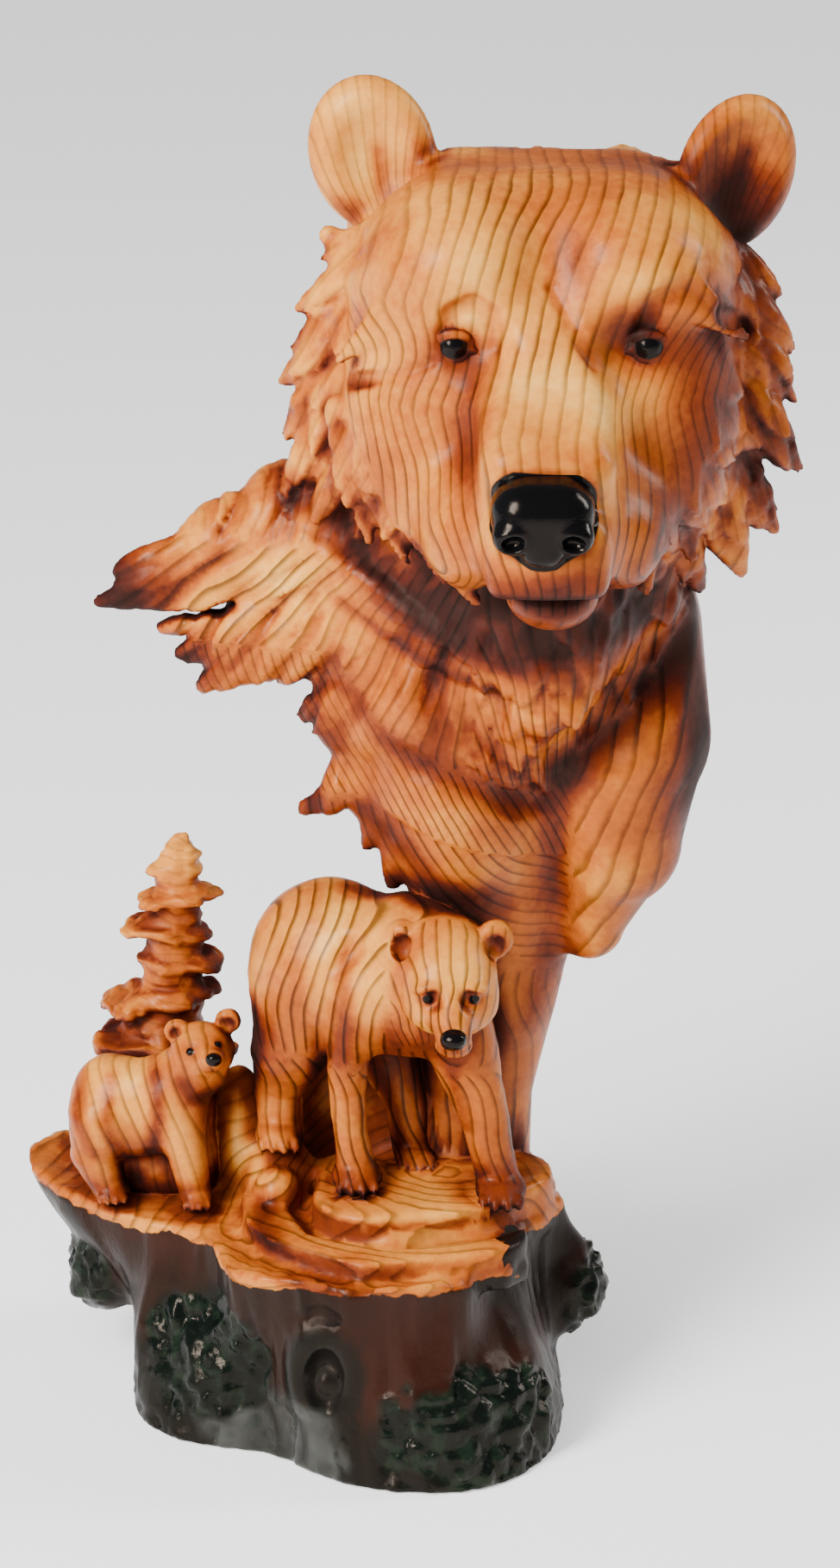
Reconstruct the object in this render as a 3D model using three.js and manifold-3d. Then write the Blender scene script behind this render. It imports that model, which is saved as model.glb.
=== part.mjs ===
// Bear family figurine: a wood-look resin casting in one piece.
// A brown bear's bust grows out of a tree stump on one carved foreleg.
// On the stump a mother bear walks, a cub sits behind her and a fir stands at the back.
//
// Frame: millimetres, +X right, +Y away from the viewer, +Z up.
// The origin is the middle of the stump's flat underside.

import * as THREE from 'three';
import { mergeVertices } from 'three/addons/utils/BufferGeometryUtils.js';
import Module from 'manifold-3d';

// Driving sizes, in millimetres
const STUMP_HEIGHT = 47;
const STUMP_RIM_RADIUS = 51;
const STUMP_FOOT_RADIUS = 50.5;
const STUMP_LOBE_REACH = 26;
const BUST_HEIGHT = 253;
const EAR_HEIGHT = 33.5;
const EAR_WIDTH = 27;
const EYE_DIAMETER = 6.4;
const NOSE_WIDTH = 21.4;
const NOSE_HEIGHT = 16.4;
const WING_REACH = 50;
const MOTHER_HEIGHT = 77;
const CUB_HEIGHT = 45;
const TREE_HEIGHT = 78;
const TREE_WIDTH = 31;
const LEDGE_RISE = 7.5;

// The forms below are drawn on a figure whose sizes are these
const DRAWN = { stump: 47, rim: 51, bust: 253, wing: 50, mother: 77, cub: 45, tree: 78 };

// Fineness of the clay grids and the triangles each modelled form may keep
const BUST_STEP = 2.2;
const STUMP_STEP = 2.2;
const FIGURE_STEP = 1.2;
const BUST_TRIANGLES = 4800;
const STUMP_TRIANGLES = 1300;
const MOTHER_TRIANGLES = 1450;
const CUB_TRIANGLES = 850;
const TREE_TRIANGLES = 800;

const DEGREE = Math.PI / 180;
const FAR_AWAY = 60;

// Small vector helpers
const mix = (a, b, t) => a + (b - a) * t;
const mixPoint = (a, b, t) => [mix(a[0], b[0], t), mix(a[1], b[1], t), mix(a[2], b[2], t)];
const minus = (a, b) => [a[0] - b[0], a[1] - b[1], a[2] - b[2]];
const dot = (a, b) => a[0] * b[0] + a[1] * b[1] + a[2] * b[2];
const cross = (a, b) => [
  a[1] * b[2] - a[2] * b[1],
  a[2] * b[0] - a[0] * b[2],
  a[0] * b[1] - a[1] * b[0],
];
const limit = (v, low, high) => Math.min(high, Math.max(low, v));
const smoothStep = (t) => t * t * (3 - 2 * t);

// Soft joins and soft cuts between two distances
function softMin(a, b, blend) {
  const h = Math.max(blend - Math.abs(a - b), 0) / blend;
  return Math.min(a, b) - h * h * blend * 0.25;
}

function softMax(a, b, blend) {
  return -softMin(-a, -b, blend);
}

// Rows of a turn about X, then Y, then Z, in degrees
function turn(tilt) {
  const euler = new THREE.Euler(tilt[0] * DEGREE, tilt[1] * DEGREE, tilt[2] * DEGREE, 'ZYX');
  const e = new THREE.Matrix4().makeRotationFromEuler(euler).elements;
  return [e[0], e[1], e[2], e[4], e[5], e[6], e[8], e[9], e[10]];
}

// A block of clay: a grid of distances to the surface, negative inside
class Clay {
  constructor(low, high, step) {
    this.low = low;
    this.step = step;
    this.count = [0, 1, 2].map((i) => Math.ceil((high[i] - low[i]) / step) + 1);
    this.field = new Float32Array(this.count[0] * this.count[1] * this.count[2]).fill(FAR_AWAY);
  }

  // Adds or cuts a form given by its distance and the box it lies in
  put(distance, low, high, blend, cut) {
    const room = blend + 5;
    const first = low.map((v, i) => Math.max(0, Math.floor((v - room - this.low[i]) / this.step)));
    const last = high.map((v, i) => {
      return Math.min(this.count[i] - 1, Math.ceil((v + room - this.low[i]) / this.step));
    });
    for (let k = first[2]; k <= last[2]; k += 1) {
      const z = this.low[2] + k * this.step;
      for (let j = first[1]; j <= last[1]; j += 1) {
        const y = this.low[1] + j * this.step;
        const row = this.count[0] * (j + this.count[1] * k);
        for (let i = first[0]; i <= last[0]; i += 1) {
          const d = distance(this.low[0] + i * this.step, y, z);
          const old = this.field[row + i];
          this.field[row + i] = cut ? softMax(old, -d, blend) : softMin(old, d, blend);
        }
      }
    }
  }
}

// An egg with its own tilt
function ball(clay, at, radii, { blend = 2, tilt = [0, 0, 0], cut = false } = {}) {
  const r = turn(tilt);
  const reach = Math.max(...radii);
  const distance = (x, y, z) => {
    const px = x - at[0];
    const py = y - at[1];
    const pz = z - at[2];
    const a = (r[0] * px + r[1] * py + r[2] * pz) / radii[0];
    const b = (r[3] * px + r[4] * py + r[5] * pz) / radii[1];
    const c = (r[6] * px + r[7] * py + r[8] * pz) / radii[2];
    const near = Math.sqrt(a * a + b * b + c * c);
    const slope = Math.sqrt((a / radii[0]) ** 2 + (b / radii[1]) ** 2 + (c / radii[2]) ** 2);
    return slope < 1e-6 ? -Math.min(...radii) : (near * (near - 1)) / slope;
  };
  clay.put(distance, at.map((v) => v - reach), at.map((v) => v + reach), blend, cut);
}

// A box with rounded edges and its own tilt
function block(clay, at, half, round, { blend = 2, tilt = [0, 0, 0], cut = false } = {}) {
  const r = turn(tilt);
  const reach = Math.hypot(...half);
  const distance = (x, y, z) => {
    const px = x - at[0];
    const py = y - at[1];
    const pz = z - at[2];
    const a = Math.abs(r[0] * px + r[1] * py + r[2] * pz) - half[0] + round;
    const b = Math.abs(r[3] * px + r[4] * py + r[5] * pz) - half[1] + round;
    const c = Math.abs(r[6] * px + r[7] * py + r[8] * pz) - half[2] + round;
    const outside = Math.hypot(Math.max(a, 0), Math.max(b, 0), Math.max(c, 0));
    return outside + Math.min(Math.max(a, b, c), 0) - round;
  };
  clay.put(distance, at.map((v) => v - reach), at.map((v) => v + reach), blend, cut);
}

// A chain of tapering rods through points; flat thins it along the across direction
function limb(clay, points, radii, { blend = 2, flat = 1, across = [0, 1, 0], cut = false } = {}) {
  const long = Math.hypot(...across);
  const way = across.map((v) => v / long);
  const squash = 1 / flat - 1;
  const pressed = (p) => {
    const along = dot(p, way) * squash;
    return [p[0] + way[0] * along, p[1] + way[1] * along, p[2] + way[2] * along];
  };
  const bones = [];
  for (let i = 0; i + 1 < points.length; i += 1) {
    const from = pressed(points[i]);
    const bone = minus(pressed(points[i + 1]), from);
    bones.push({ from, bone, square: dot(bone, bone) + 1e-9, thick: radii[i], thin: radii[i + 1] });
  }
  const distance = (x, y, z) => {
    const q = pressed([x, y, z]);
    let nearest = FAR_AWAY;
    for (const { from, bone, square, thick, thin } of bones) {
      const px = q[0] - from[0];
      const py = q[1] - from[1];
      const pz = q[2] - from[2];
      const t = limit((px * bone[0] + py * bone[1] + pz * bone[2]) / square, 0, 1);
      const dx = px - bone[0] * t;
      const dy = py - bone[1] * t;
      const dz = pz - bone[2] * t;
      const d = Math.sqrt(dx * dx + dy * dy + dz * dz) - mix(thick, thin, t);
      nearest = Math.min(nearest, d);
    }
    return nearest * (flat < 1 ? Math.max(flat, 0.7) : 1);
  };
  const widest = Math.max(...radii);
  const low = [0, 1, 2].map((i) => Math.min(...points.map((p) => p[i])) - widest);
  const high = [0, 1, 2].map((i) => Math.max(...points.map((p) => p[i])) + widest);
  clay.put(distance, low, high, blend, cut);
}

// A lock of fur: a curved chain that swells a little, then runs out to a tip
function lock(clay, root, tip, width, look = {}) {
  const { blend = 2, sag = [0, -1, 1], flat = 0.7, across = [0, 1, 0], sharp = 0.2 } = look;
  const joints = 5;
  const points = [];
  const radii = [];
  for (let i = 0; i < joints; i += 1) {
    const t = i / (joints - 1);
    const arch = 4 * t * (1 - t);
    points.push(mixPoint(root, tip, t).map((v, axis) => v + sag[axis] * arch));
    radii.push(width * (sharp + (1 - sharp) * (1 - t) ** 0.7 * (0.75 + 0.9 * t * (1 - t))));
  }
  limb(clay, points, radii, { blend, flat, across });
}

// Turns a block of clay into a closed mesh: each grid cell is split into six
// four-cornered cells and the surface is passed through each of them
function skinOf(clay) {
  const [nx, ny, nz] = clay.count;
  const { field, low, step } = clay;
  const orders = [
    [0, 1, 2, 1], [1, 2, 0, 1], [2, 0, 1, 1],
    [1, 0, 2, -1], [0, 2, 1, -1], [2, 1, 0, -1],
  ];
  const evenFirst = { 0: [0, 1, 2, 3], 1: [1, 0, 3, 2], 2: [2, 3, 0, 1], 3: [3, 2, 1, 0] };
  const evenPair = {
    3: [0, 1, 2, 3], 5: [0, 2, 3, 1], 9: [0, 3, 1, 2],
    6: [1, 2, 0, 3], 10: [1, 3, 2, 0], 12: [2, 3, 0, 1],
  };
  const stride = [1, nx, nx * ny];
  const cornerShift = (axes) => axes.reduce((sum, axis) => sum + stride[axis], 0);
  const cells = orders.map(([a, b, c, sign]) => ({
    shift: [0, cornerShift([a]), cornerShift([a, b]), cornerShift([a, b, c])],
    sign,
  }));
  const found = new Map();
  const positions = [];
  const faces = [];
  const pointAt = (index) => {
    const i = index % nx;
    const j = Math.floor(index / nx) % ny;
    const k = Math.floor(index / (nx * ny));
    return [low[0] + i * step, low[1] + j * step, low[2] + k * step];
  };
  const crossing = (from, to) => {
    const a = Math.min(from, to);
    const b = Math.max(from, to);
    const key = a * 67108864 + (b - a);
    let index = found.get(key);
    if (index === undefined) {
      const t = limit(field[a] / (field[a] - field[b]), 0.08, 0.92);
      index = positions.length;
      positions.push(mixPoint(pointAt(a), pointAt(b), t));
      found.set(key, index);
    }
    return index;
  };
  const addFace = (a, b, c, sign) => faces.push(sign > 0 ? [a, b, c] : [a, c, b]);
  for (let k = 0; k + 1 < nz; k += 1) {
    for (let j = 0; j + 1 < ny; j += 1) {
      for (let i = 0; i + 1 < nx; i += 1) {
        const base = i + nx * (j + ny * k);
        const reach = Math.abs(field[base]);
        if (reach > 4 * step && reach < FAR_AWAY) continue;
        for (const { shift, sign } of cells) {
          const corner = shift.map((s) => base + s);
          const mask = corner.reduce((bits, index, bit) => bits + (field[index] < 0 ? 1 << bit : 0), 0);
          if (mask === 0 || mask === 15) continue;
          if (evenPair[mask]) {
            const [p, q, r, s] = evenPair[mask].map((bit) => corner[bit]);
            const [pr, ps, qs, qr] = [crossing(p, r), crossing(p, s), crossing(q, s), crossing(q, r)];
            addFace(pr, ps, qs, sign);
            addFace(pr, qs, qr, sign);
          } else {
            const single = [1, 2, 4, 8].indexOf(mask);
            const lone = single >= 0 ? single : [14, 13, 11, 7].indexOf(mask);
            const [p, q, r, s] = evenFirst[lone].map((bit) => corner[bit]);
            addFace(crossing(p, q), crossing(p, r), crossing(p, s), single >= 0 ? sign : -sign);
          }
        }
      }
    }
  }
  return { positions, faces };
}

// A waiting list that always gives back its cheapest entry
class CheapestFirst {
  constructor() {
    this.items = [];
  }

  push(item) {
    const list = this.items;
    list.push(item);
    let at = list.length - 1;
    while (at > 0) {
      const parent = (at - 1) >> 1;
      if (list[parent].cost <= list[at].cost) break;
      [list[parent], list[at]] = [list[at], list[parent]];
      at = parent;
    }
  }

  pop() {
    const list = this.items;
    const top = list[0];
    const last = list.pop();
    if (list.length > 0) {
      list[0] = last;
      let at = 0;
      for (;;) {
        const left = 2 * at + 1;
        if (left >= list.length) break;
        const right = left + 1;
        const child = right < list.length && list[right].cost < list[left].cost ? right : left;
        if (list[at].cost <= list[child].cost) break;
        [list[child], list[at]] = [list[at], list[child]];
        at = child;
      }
    }
    return top;
  }
}

// Sum of squared distances to planes, kept as ten numbers
function planeSum(normal, offset, weight) {
  const [a, b, c] = normal;
  return [a * a, a * b, a * c, a * offset, b * b, b * c, b * offset, c * c, c * offset, offset * offset]
    .map((v) => v * weight);
}

function planeError(q, p) {
  const [x, y, z] = p;
  return q[0] * x * x + 2 * q[1] * x * y + 2 * q[2] * x * z + 2 * q[3] * x
    + q[4] * y * y + 2 * q[5] * y * z + 2 * q[6] * y + q[7] * z * z + 2 * q[8] * z + q[9];
}

// The point with the least error, held lightly to a middle point
function bestPoint(q, middle) {
  const hold = 0.002 * (q[0] + q[4] + q[7]) + 1e-9;
  const columns = [
    [q[0] + hold, q[1], q[2]],
    [q[1], q[4] + hold, q[5]],
    [q[2], q[5], q[7] + hold],
  ];
  const right = [hold * middle[0] - q[3], hold * middle[1] - q[6], hold * middle[2] - q[8]];
  const whole = dot(columns[0], cross(columns[1], columns[2]));
  if (Math.abs(whole) < 1e-12) return middle;
  return [
    dot(right, cross(columns[1], columns[2])) / whole,
    dot(columns[0], cross(right, columns[2])) / whole,
    dot(columns[0], cross(columns[1], right)) / whole,
  ];
}

// Folds the cheapest edges of a closed mesh until the wanted triangle count is left
function simplify({ positions, faces }, wanted) {
  const points = positions.map((p) => [...p]);
  const triangles = faces.map((f) => [...f]);
  const alive = new Uint8Array(triangles.length).fill(1);
  const around = points.map(() => new Set());
  const sums = points.map(() => new Array(10).fill(0));
  const age = new Int32Array(points.length);
  const normalOf = (a, b, c) => cross(minus(b, a), minus(c, a));
  triangles.forEach((face, index) => {
    const corners = face.map((v) => points[v]);
    const normal = normalOf(...corners);
    const size = Math.hypot(...normal) || 1e-12;
    const unit = normal.map((v) => v / size);
    const sum = planeSum(unit, -dot(unit, corners[0]), size);
    for (const v of face) {
      around[v].add(index);
      sum.forEach((value, i) => {
        sums[v][i] += value;
      });
    }
  });
  const queue = new CheapestFirst();
  const offer = (a, b) => {
    const sum = sums[a].map((v, i) => v + sums[b][i]);
    const middle = mixPoint(points[a], points[b], 0.5);
    const target = bestPoint(sum, middle);
    const apart = Math.hypot(...minus(points[a], points[b]));
    const far = Math.hypot(...minus(target, middle)) > 2 * apart;
    const place = far ? middle : target;
    const cost = Math.max(planeError(sum, place), 0) + 1e-4 * apart ** 4;
    queue.push({ a, b, cost, place, ageA: age[a], ageB: age[b] });
  };
  const neighbours = (v) => {
    const set = new Set();
    for (const index of around[v]) {
      for (const corner of triangles[index]) {
        if (corner !== v) set.add(corner);
      }
    }
    return set;
  };
  triangles.forEach((face) => {
    face.forEach((v, i) => {
      const w = face[(i + 1) % 3];
      if (v < w) offer(v, w);
    });
  });
  const thinnest = 0.12;
  const roundness = (corners, normal) => {
    const sides = [0, 1, 2].map((i) => Math.hypot(...minus(corners[i], corners[(i + 1) % 3])));
    return Math.hypot(...normal) / Math.max(...sides) ** 2;
  };
  const keepsShape = (v, other, place) => {
    for (const index of around[v]) {
      const face = triangles[index];
      if (face.includes(other)) continue;
      const corners = face.map((w) => points[w]);
      const moved = face.map((w) => (w === v ? place : points[w]));
      const before = normalOf(...corners);
      const after = normalOf(...moved);
      if (dot(before, after) < 0.3 * Math.hypot(...before) * Math.hypot(...after)) return false;
      const needed = Math.min(thinnest, 0.7 * roundness(corners, before));
      if (roundness(moved, after) < needed) return false;
    }
    return true;
  };
  let left = triangles.length;
  while (left > wanted && queue.items.length > 0) {
    const { a, b, place, ageA, ageB } = queue.pop();
    if (age[a] !== ageA || age[b] !== ageB) continue;
    const nearA = neighbours(a);
    const nearB = neighbours(b);
    const shared = [...nearA].filter((v) => nearB.has(v));
    if (shared.length !== 2) continue;
    if (!keepsShape(a, b, place) || !keepsShape(b, a, place)) continue;
    points[a] = place;
    sums[a] = sums[a].map((v, i) => v + sums[b][i]);
    for (const index of around[b]) {
      const face = triangles[index];
      if (face.includes(a)) {
        alive[index] = 0;
        left -= 1;
        face.forEach((v) => {
          if (v !== b) around[v].delete(index);
        });
      } else {
        face[face.indexOf(b)] = a;
        around[a].add(index);
      }
    }
    around[b].clear();
    age[b] = -1;
    age[a] += 1;
    for (const v of neighbours(a)) {
      offer(Math.min(a, v), Math.max(a, v));
    }
  }
  return { positions: points, faces: triangles.filter((face, index) => alive[index] === 1) };
}

// Moves a drawn skin so that its drawn foot stands at a new foot, stretched to size
function stand({ positions, faces }, drawnFoot, foot, stretch) {
  const placed = positions.map((p) => p.map((v, i) => foot[i] + (v - drawnFoot[i]) * stretch[i]));
  return { positions: placed, faces };
}

// How far the stump stands out towards one side: a round with broad swellings
function lobedRadius(angle, radius, lobes) {
  return lobes.reduce((sum, [centre, rise, width]) => {
    const apart = ((((angle - centre + 180) % 360) + 360) % 360) - 180;
    return sum + rise * Math.exp(-((apart / width) ** 2));
  }, radius);
}

// The stump: a wide lobed rim over a narrower lobed foot, with a waist and bark folds
function stump(clay) {
  const spread = STUMP_RIM_RADIUS / DRAWN.rim;
  const rimLobes = [
    [157, STUMP_LOBE_REACH / spread, 24],
    [212, -17, 26],
    [285, 3, 20],
    [332, -8, 20],
    [60, 3, 40],
  ];
  const footLobes = [
    [310, 11, 30],
    [246, -12, 26],
    [150, -6, 50],
  ];
  const waist = 4;
  const fold = 1.6;
  const distance = (x, y, z) => {
    const angle = Math.atan2(y, x) / DEGREE;
    const rise = limit(z / DRAWN.stump, 0, 1);
    const rim = lobedRadius(angle, DRAWN.rim, rimLobes);
    const foot = lobedRadius(angle, STUMP_FOOT_RADIUS / spread, footLobes);
    const middle = Math.sin(rise * Math.PI);
    const nip = waist * middle * (0.6 + 0.4 * Math.sin((angle * 5 + 40) * DEGREE));
    const bark = fold * middle * Math.sin(angle * 11 * DEGREE + 1.5 * Math.sin(z * 0.08));
    const side = (Math.hypot(x, y) - mix(foot, rim, smoothStep(rise) ** 1.4) + nip - bark) * 0.85;
    const top = z - DRAWN.stump + 0.5 - Math.sin(x * 0.07 + 1) * 0.9;
    return softMax(softMax(side, top, 1.6), -z - 4, 1.2);
  };
  clay.put(distance, [-80, -66, -4], [70, 66, 50], 1, false);
  // broken root stubs at both sides
  ball(clay, [-53, 16, 22], [9, 12, 10], { blend: 4 });
  ball(clay, [53, 8, 21.5], [8, 12, 11], { blend: 5 });
  // knot with its hollow
  ball(clay, [-2, -39, 24], [9, 6, 11], { blend: 4 });
  ball(clay, [-2, -47, 24], [4.5, 6, 6], { blend: 3, cut: true });
  // plates of rough bark at the foot
  ball(clay, [-29, -19, 13], [13, 8, 11], { blend: 4, tilt: [0, 0, -55] });
  ball(clay, [32, -39, 12], [17, 7, 12], { blend: 4, tilt: [0, 0, 35] });
}

// The carved ground on the stump: ledges under the bears, a rock and a boulder
function ledges(clay) {
  const rise = LEDGE_RISE;
  block(clay, [19, -13, 47], [22, 17, rise], 4, { blend: 2, tilt: [0, 0, -6] });
  block(clay, [8, -26, 45], [25, 19, rise - 1], 4, { blend: 2, tilt: [0, 0, -10] });
  block(clay, [26, 8, 46], [17, 18, rise], 5, { blend: 3 });
  ball(clay, [-12.5, 6, 50], [8, 9, 11], { blend: 2.5 });
  ball(clay, [-12, -6, 49], [6, 6, 7], { blend: 2 });
  ball(clay, [-22, 12, 54], [6.5, 8, 19], { blend: 4 });
  ball(clay, [-34, 24, 46], [24, 16, 9], { blend: 4 });
}

// The fir: a trunk with tiers of drooping branch tips that shrink upwards
function fir(clay) {
  const base = [-42.5, 25, 48];
  const tip = [-34.5, 25, 124];
  const halfWidth = (TREE_WIDTH / 2) * (DRAWN.tree / TREE_HEIGHT);
  const tiers = 8;
  const branches = 7;
  limb(clay, [base, mixPoint(base, tip, 0.88), tip], [10, 4.5, 1.8], { blend: 1 });
  for (let tier = 0; tier < tiers; tier += 1) {
    const level = 0.03 + 0.89 * (tier / (tiers - 1)) ** 0.9;
    const middle = mixPoint(base, tip, level);
    const reach = halfWidth * (1.08 - 0.62 * level ** 1.3) * (tier === tiers - 1 ? 0.7 : 1);
    ball(clay, [middle[0], middle[1], middle[2] + 1], [reach * 0.78, reach * 0.78, 4.2], { blend: 1 });
    for (let branch = 0; branch < branches; branch += 1) {
      const wander = 0.2 * Math.sin(branch * 5 + tier * 3);
      const angle = (2 * Math.PI * (branch + 0.37 * tier)) / branches + wander;
      const long = reach * (0.97 + 0.13 * Math.sin(branch * 7 + tier * 2));
      const way = [Math.cos(angle), Math.sin(angle), 0];
      const root = middle.map((v, i) => v + way[i] * reach * 0.3 + (i === 2 ? 1.5 : 0));
      const end = middle.map((v, i) => v + way[i] * long + (i === 2 ? Math.sin(branch * 3 + tier) : 0));
      lock(clay, root, end, 3.8, { blend: 1, sag: [0, 0, 0.8], across: [0, 0, 1], sharp: 0.3 });
    }
  }
}

// The mother bear, walking towards the front with her head turned to the viewer
function mother(clay) {
  const soft = { blend: 4 };
  const joined = { blend: 3 };
  // body, hump and neck
  ball(clay, [-3.5, 8, 99], [16, 17, 20], soft);
  ball(clay, [0.5, 5, 102.5], [15.5, 16, 18], soft);
  ball(clay, [10, -1, 101.5], [15.5, 15.5, 18], soft);
  ball(clay, [18, -6, 102], [13, 14, 17.5], soft);
  ball(clay, [17, -4, 112], [9, 9, 8.5], soft);
  limb(clay, [[17, -6, 108], [24, -14, 110]], [12.5, 11], soft);
  // head and muzzle
  ball(clay, [25.3, -19, 109.5], [11.2, 10.5, 10.5], { blend: 2 });
  ball(clay, [25.6, -20.5, 104.5], [10.8, 9, 8], { blend: 2 });
  limb(clay, [[25.6, -25, 105], [26.2, -32, 99.5]], [5.8, 4.3], { blend: 2 });
  ball(clay, [26.3, -30.5, 97.3], [4.4, 4.5, 3], { blend: 1 });
  ball(clay, [26.2, -35.4, 100.4], [2.6, 1.8, 2], { blend: 0.5 });
  for (const side of [-1, 1]) {
    const ear = { blend: 0.8, tilt: [0, side * 15, side * 15] };
    ball(clay, [25.2 + side * 10, -15, 118], [4.4, 2.8, 4.6], ear);
    ball(clay, [25.2 + side * 10.2, -18.4, 117.6], [2.7, 2.6, 3], { ...ear, cut: true });
    ball(clay, [25.7 + side * 5, -29.5, 107], [2.2, 2.5, 1.8], { blend: 1.2, cut: true });
  }
  ball(clay, [4, 12, 88], [10, 9, 12], soft);
  // legs and paws: near fore, far fore, raised hind, far hind
  limb(clay, [[9, -9, 100], [5.5, -8, 84], [6.5, -6, 72], [5.5, -7, 58]], [9.5, 7, 5.6, 5], joined);
  ball(clay, [5.2, -9.5, 55.5], [5.6, 6.5, 3.6], { blend: 1.5 });
  limb(clay, [[26, -8, 96], [30, -8, 82], [33.5, -9, 70], [36, -10, 57]], [8.5, 7, 5.6, 5], joined);
  ball(clay, [37, -13, 53.8], [5.8, 6.5, 3.4], { blend: 1.5 });
  limb(clay, [[-6, 6, 94], [-10, 3, 82], [-13, 5, 72], [-12.5, 3, 64]], [12.5, 9, 6, 5], joined);
  ball(clay, [-12.5, 0, 61.5], [5.4, 6.5, 3.4], { blend: 1.5 });
  limb(clay, [[6, 14, 92], [12, 12, 76], [16, 10, 66], [17, 8, 56]], [11, 7, 5, 4.5], joined);
  ball(clay, [18, 4, 53.5], [4.6, 6, 3.2], { blend: 1.5 });
}

// The cub, following on with its nose up
function cub(clay) {
  const soft = { blend: 2.5 };
  const joined = { blend: 2 };
  // body, neck and head
  ball(clay, [-50, 5, 69], [10, 11, 12.5], soft);
  ball(clay, [-43, 3, 69], [13, 10.5, 12.5], soft);
  ball(clay, [-35, 1, 70.5], [9.5, 9.5, 12], soft);
  limb(clay, [[-35, 1, 74], [-29.5, -1, 80]], [8.5, 7.5], soft);
  ball(clay, [-29.3, -2.5, 83.5], [7.3, 7, 6.8], { blend: 1.2 });
  limb(clay, [[-28, -7, 83.8], [-26.6, -11, 85]], [4, 2.6], { blend: 1.2 });
  ball(clay, [-26.4, -13, 86.2], [1.5, 1.1, 1.2], { blend: 0.3 });
  for (const side of [-1, 1]) {
    const ear = [-29.5 + side * 5.8, -0.5, 88.9 + side * 1.2];
    ball(clay, ear, [3, 1.8, 3], { blend: 0.6 });
    ball(clay, [ear[0], ear[1] - 2.1, ear[2] - 0.2], [1.8, 1.4, 1.8], { blend: 0.5, cut: true });
  }
  // legs and paws: near fore, far fore, near hind, far hind
  limb(clay, [[-33, -2, 68], [-31, -4, 58], [-29.5, -4, 49]], [6.5, 4.8, 3.8], joined);
  ball(clay, [-29, -5.5, 48.3], [4, 4.6, 2.8], { blend: 1 });
  limb(clay, [[-33, 8, 66], [-31, 9, 56], [-30, 8, 48]], [6, 4.6, 3.6], joined);
  limb(clay, [[-52, 0, 66], [-54, 0, 58], [-51, 0, 49]], [8, 5.5, 4], joined);
  ball(clay, [-50, -1.5, 48.3], [4.2, 4.8, 2.8], { blend: 1 });
  limb(clay, [[-50, 10, 66], [-50, 11, 57], [-48, 10, 48]], [7, 5, 3.8], joined);
}

// The carved foreleg, the chest and the shoulder of the bust
function trunk(clay) {
  const soft = { blend: 5 };
  // foreleg column and its knee
  const foreleg = [[27, 17, 40], [31, 16, 68], [35, 15, 98], [38, 12, 140]];
  limb(clay, foreleg, [17, 14, 16.5, 24], { blend: 4, flat: 0.8 });
  ball(clay, [38, 12, 92], [10, 11, 13], { blend: 3 });
  // chest
  ball(clay, [38, 9, 161], [31, 25, 37], { blend: 8 });
  ball(clay, [27, 1, 151], [18, 18, 31], { blend: 6 });
  // shoulder at the right, cut off below
  const shoulder = [[57.5, 9, 178], [61, 7, 155], [60, 6, 132], [56.5, 6, 111]];
  limb(clay, shoulder, [23, 22, 17, 8], { blend: 4, flat: 0.9 });
  // neck and furry bib
  limb(clay, [[45, 10, 225], [42, 8, 190]], [36, 33], { blend: 6 });
  limb(clay, [[45, -14, 192], [47, -16, 172], [48.5, -15, 154]], [18, 11, 4], soft);
  // grooves beside the bib and down the chest
  const groove = { blend: 3, cut: true };
  limb(clay, [[72, -20, 184], [60, -23, 168], [50, -22, 151]], [2.5, 4.5, 3.5], groove);
  limb(clay, [[48.5, -20, 150], [49, -17, 130], [49, -12, 108]], [2.6, 2.2, 2], { blend: 2, cut: true });
  limb(clay, [[18, -18, 176], [34, -21, 164], [45, -22, 151]], [1.5, 2.5, 2], groove);
}

// The swept fur at the left: a broad wing with ragged locks, then shorter ones below
function wing(clay) {
  const reach = (WING_REACH / DRAWN.wing) * (DRAWN.bust / BUST_HEIGHT);
  const out = (x) => (x < 20 ? 20 - (20 - x) * reach : x);
  const swept = (points) => points.map(([x, y, z]) => [out(x), y, z]);
  const upper = swept([[20, 8, 196], [-5, 10, 199], [-20, 10, 196], [-36, 9, 188]]);
  limb(clay, upper, [25, 18.5, 13, 6], { blend: 5, flat: 0.8 });
  limb(clay, swept([[18, 2, 181], [-3, 3, 180.5], [-17, 4, 177]]), [18, 10, 7], { blend: 4, flat: 0.8 });
  limb(clay, swept([[20, 0, 166], [4, 2, 160]]), [18, 8], { blend: 4 });
  limb(clay, swept([[24, 0, 150], [10, 2, 143]]), [15, 7], { blend: 4 });
  const locks = [
    [[-22, 10, 196], [-45.5, 10, 192.5], 7],
    [[-26, 8, 190], [-50, 10, 184.5], 7],
    [[-20, 6, 186], [-41, 8, 180], 6],
    [[-8, 4, 182], [-33, 6, 176], 6],
    [[-6, 3, 177], [-28, 5, 168], 7],
    [[0, 2, 174], [-12, 4, 169.5], 5],
    [[6, 0, 168], [-6, 3, 161], 7],
    [[10, 0, 158], [0, 2, 147], 6],
    [[12, 0, 150], [-6, 2, 139.5], 6],
    [[14, 0, 146], [7, 2, 131], 6],
    [[16, 0, 138], [13, 3, 122], 6],
  ];
  for (const [root, tip, width] of locks) {
    const [from, to] = swept([root, tip]);
    lock(clay, from, to, width, { blend: 2.5, sag: [0, -1.5, 1] });
  }
}

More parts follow.
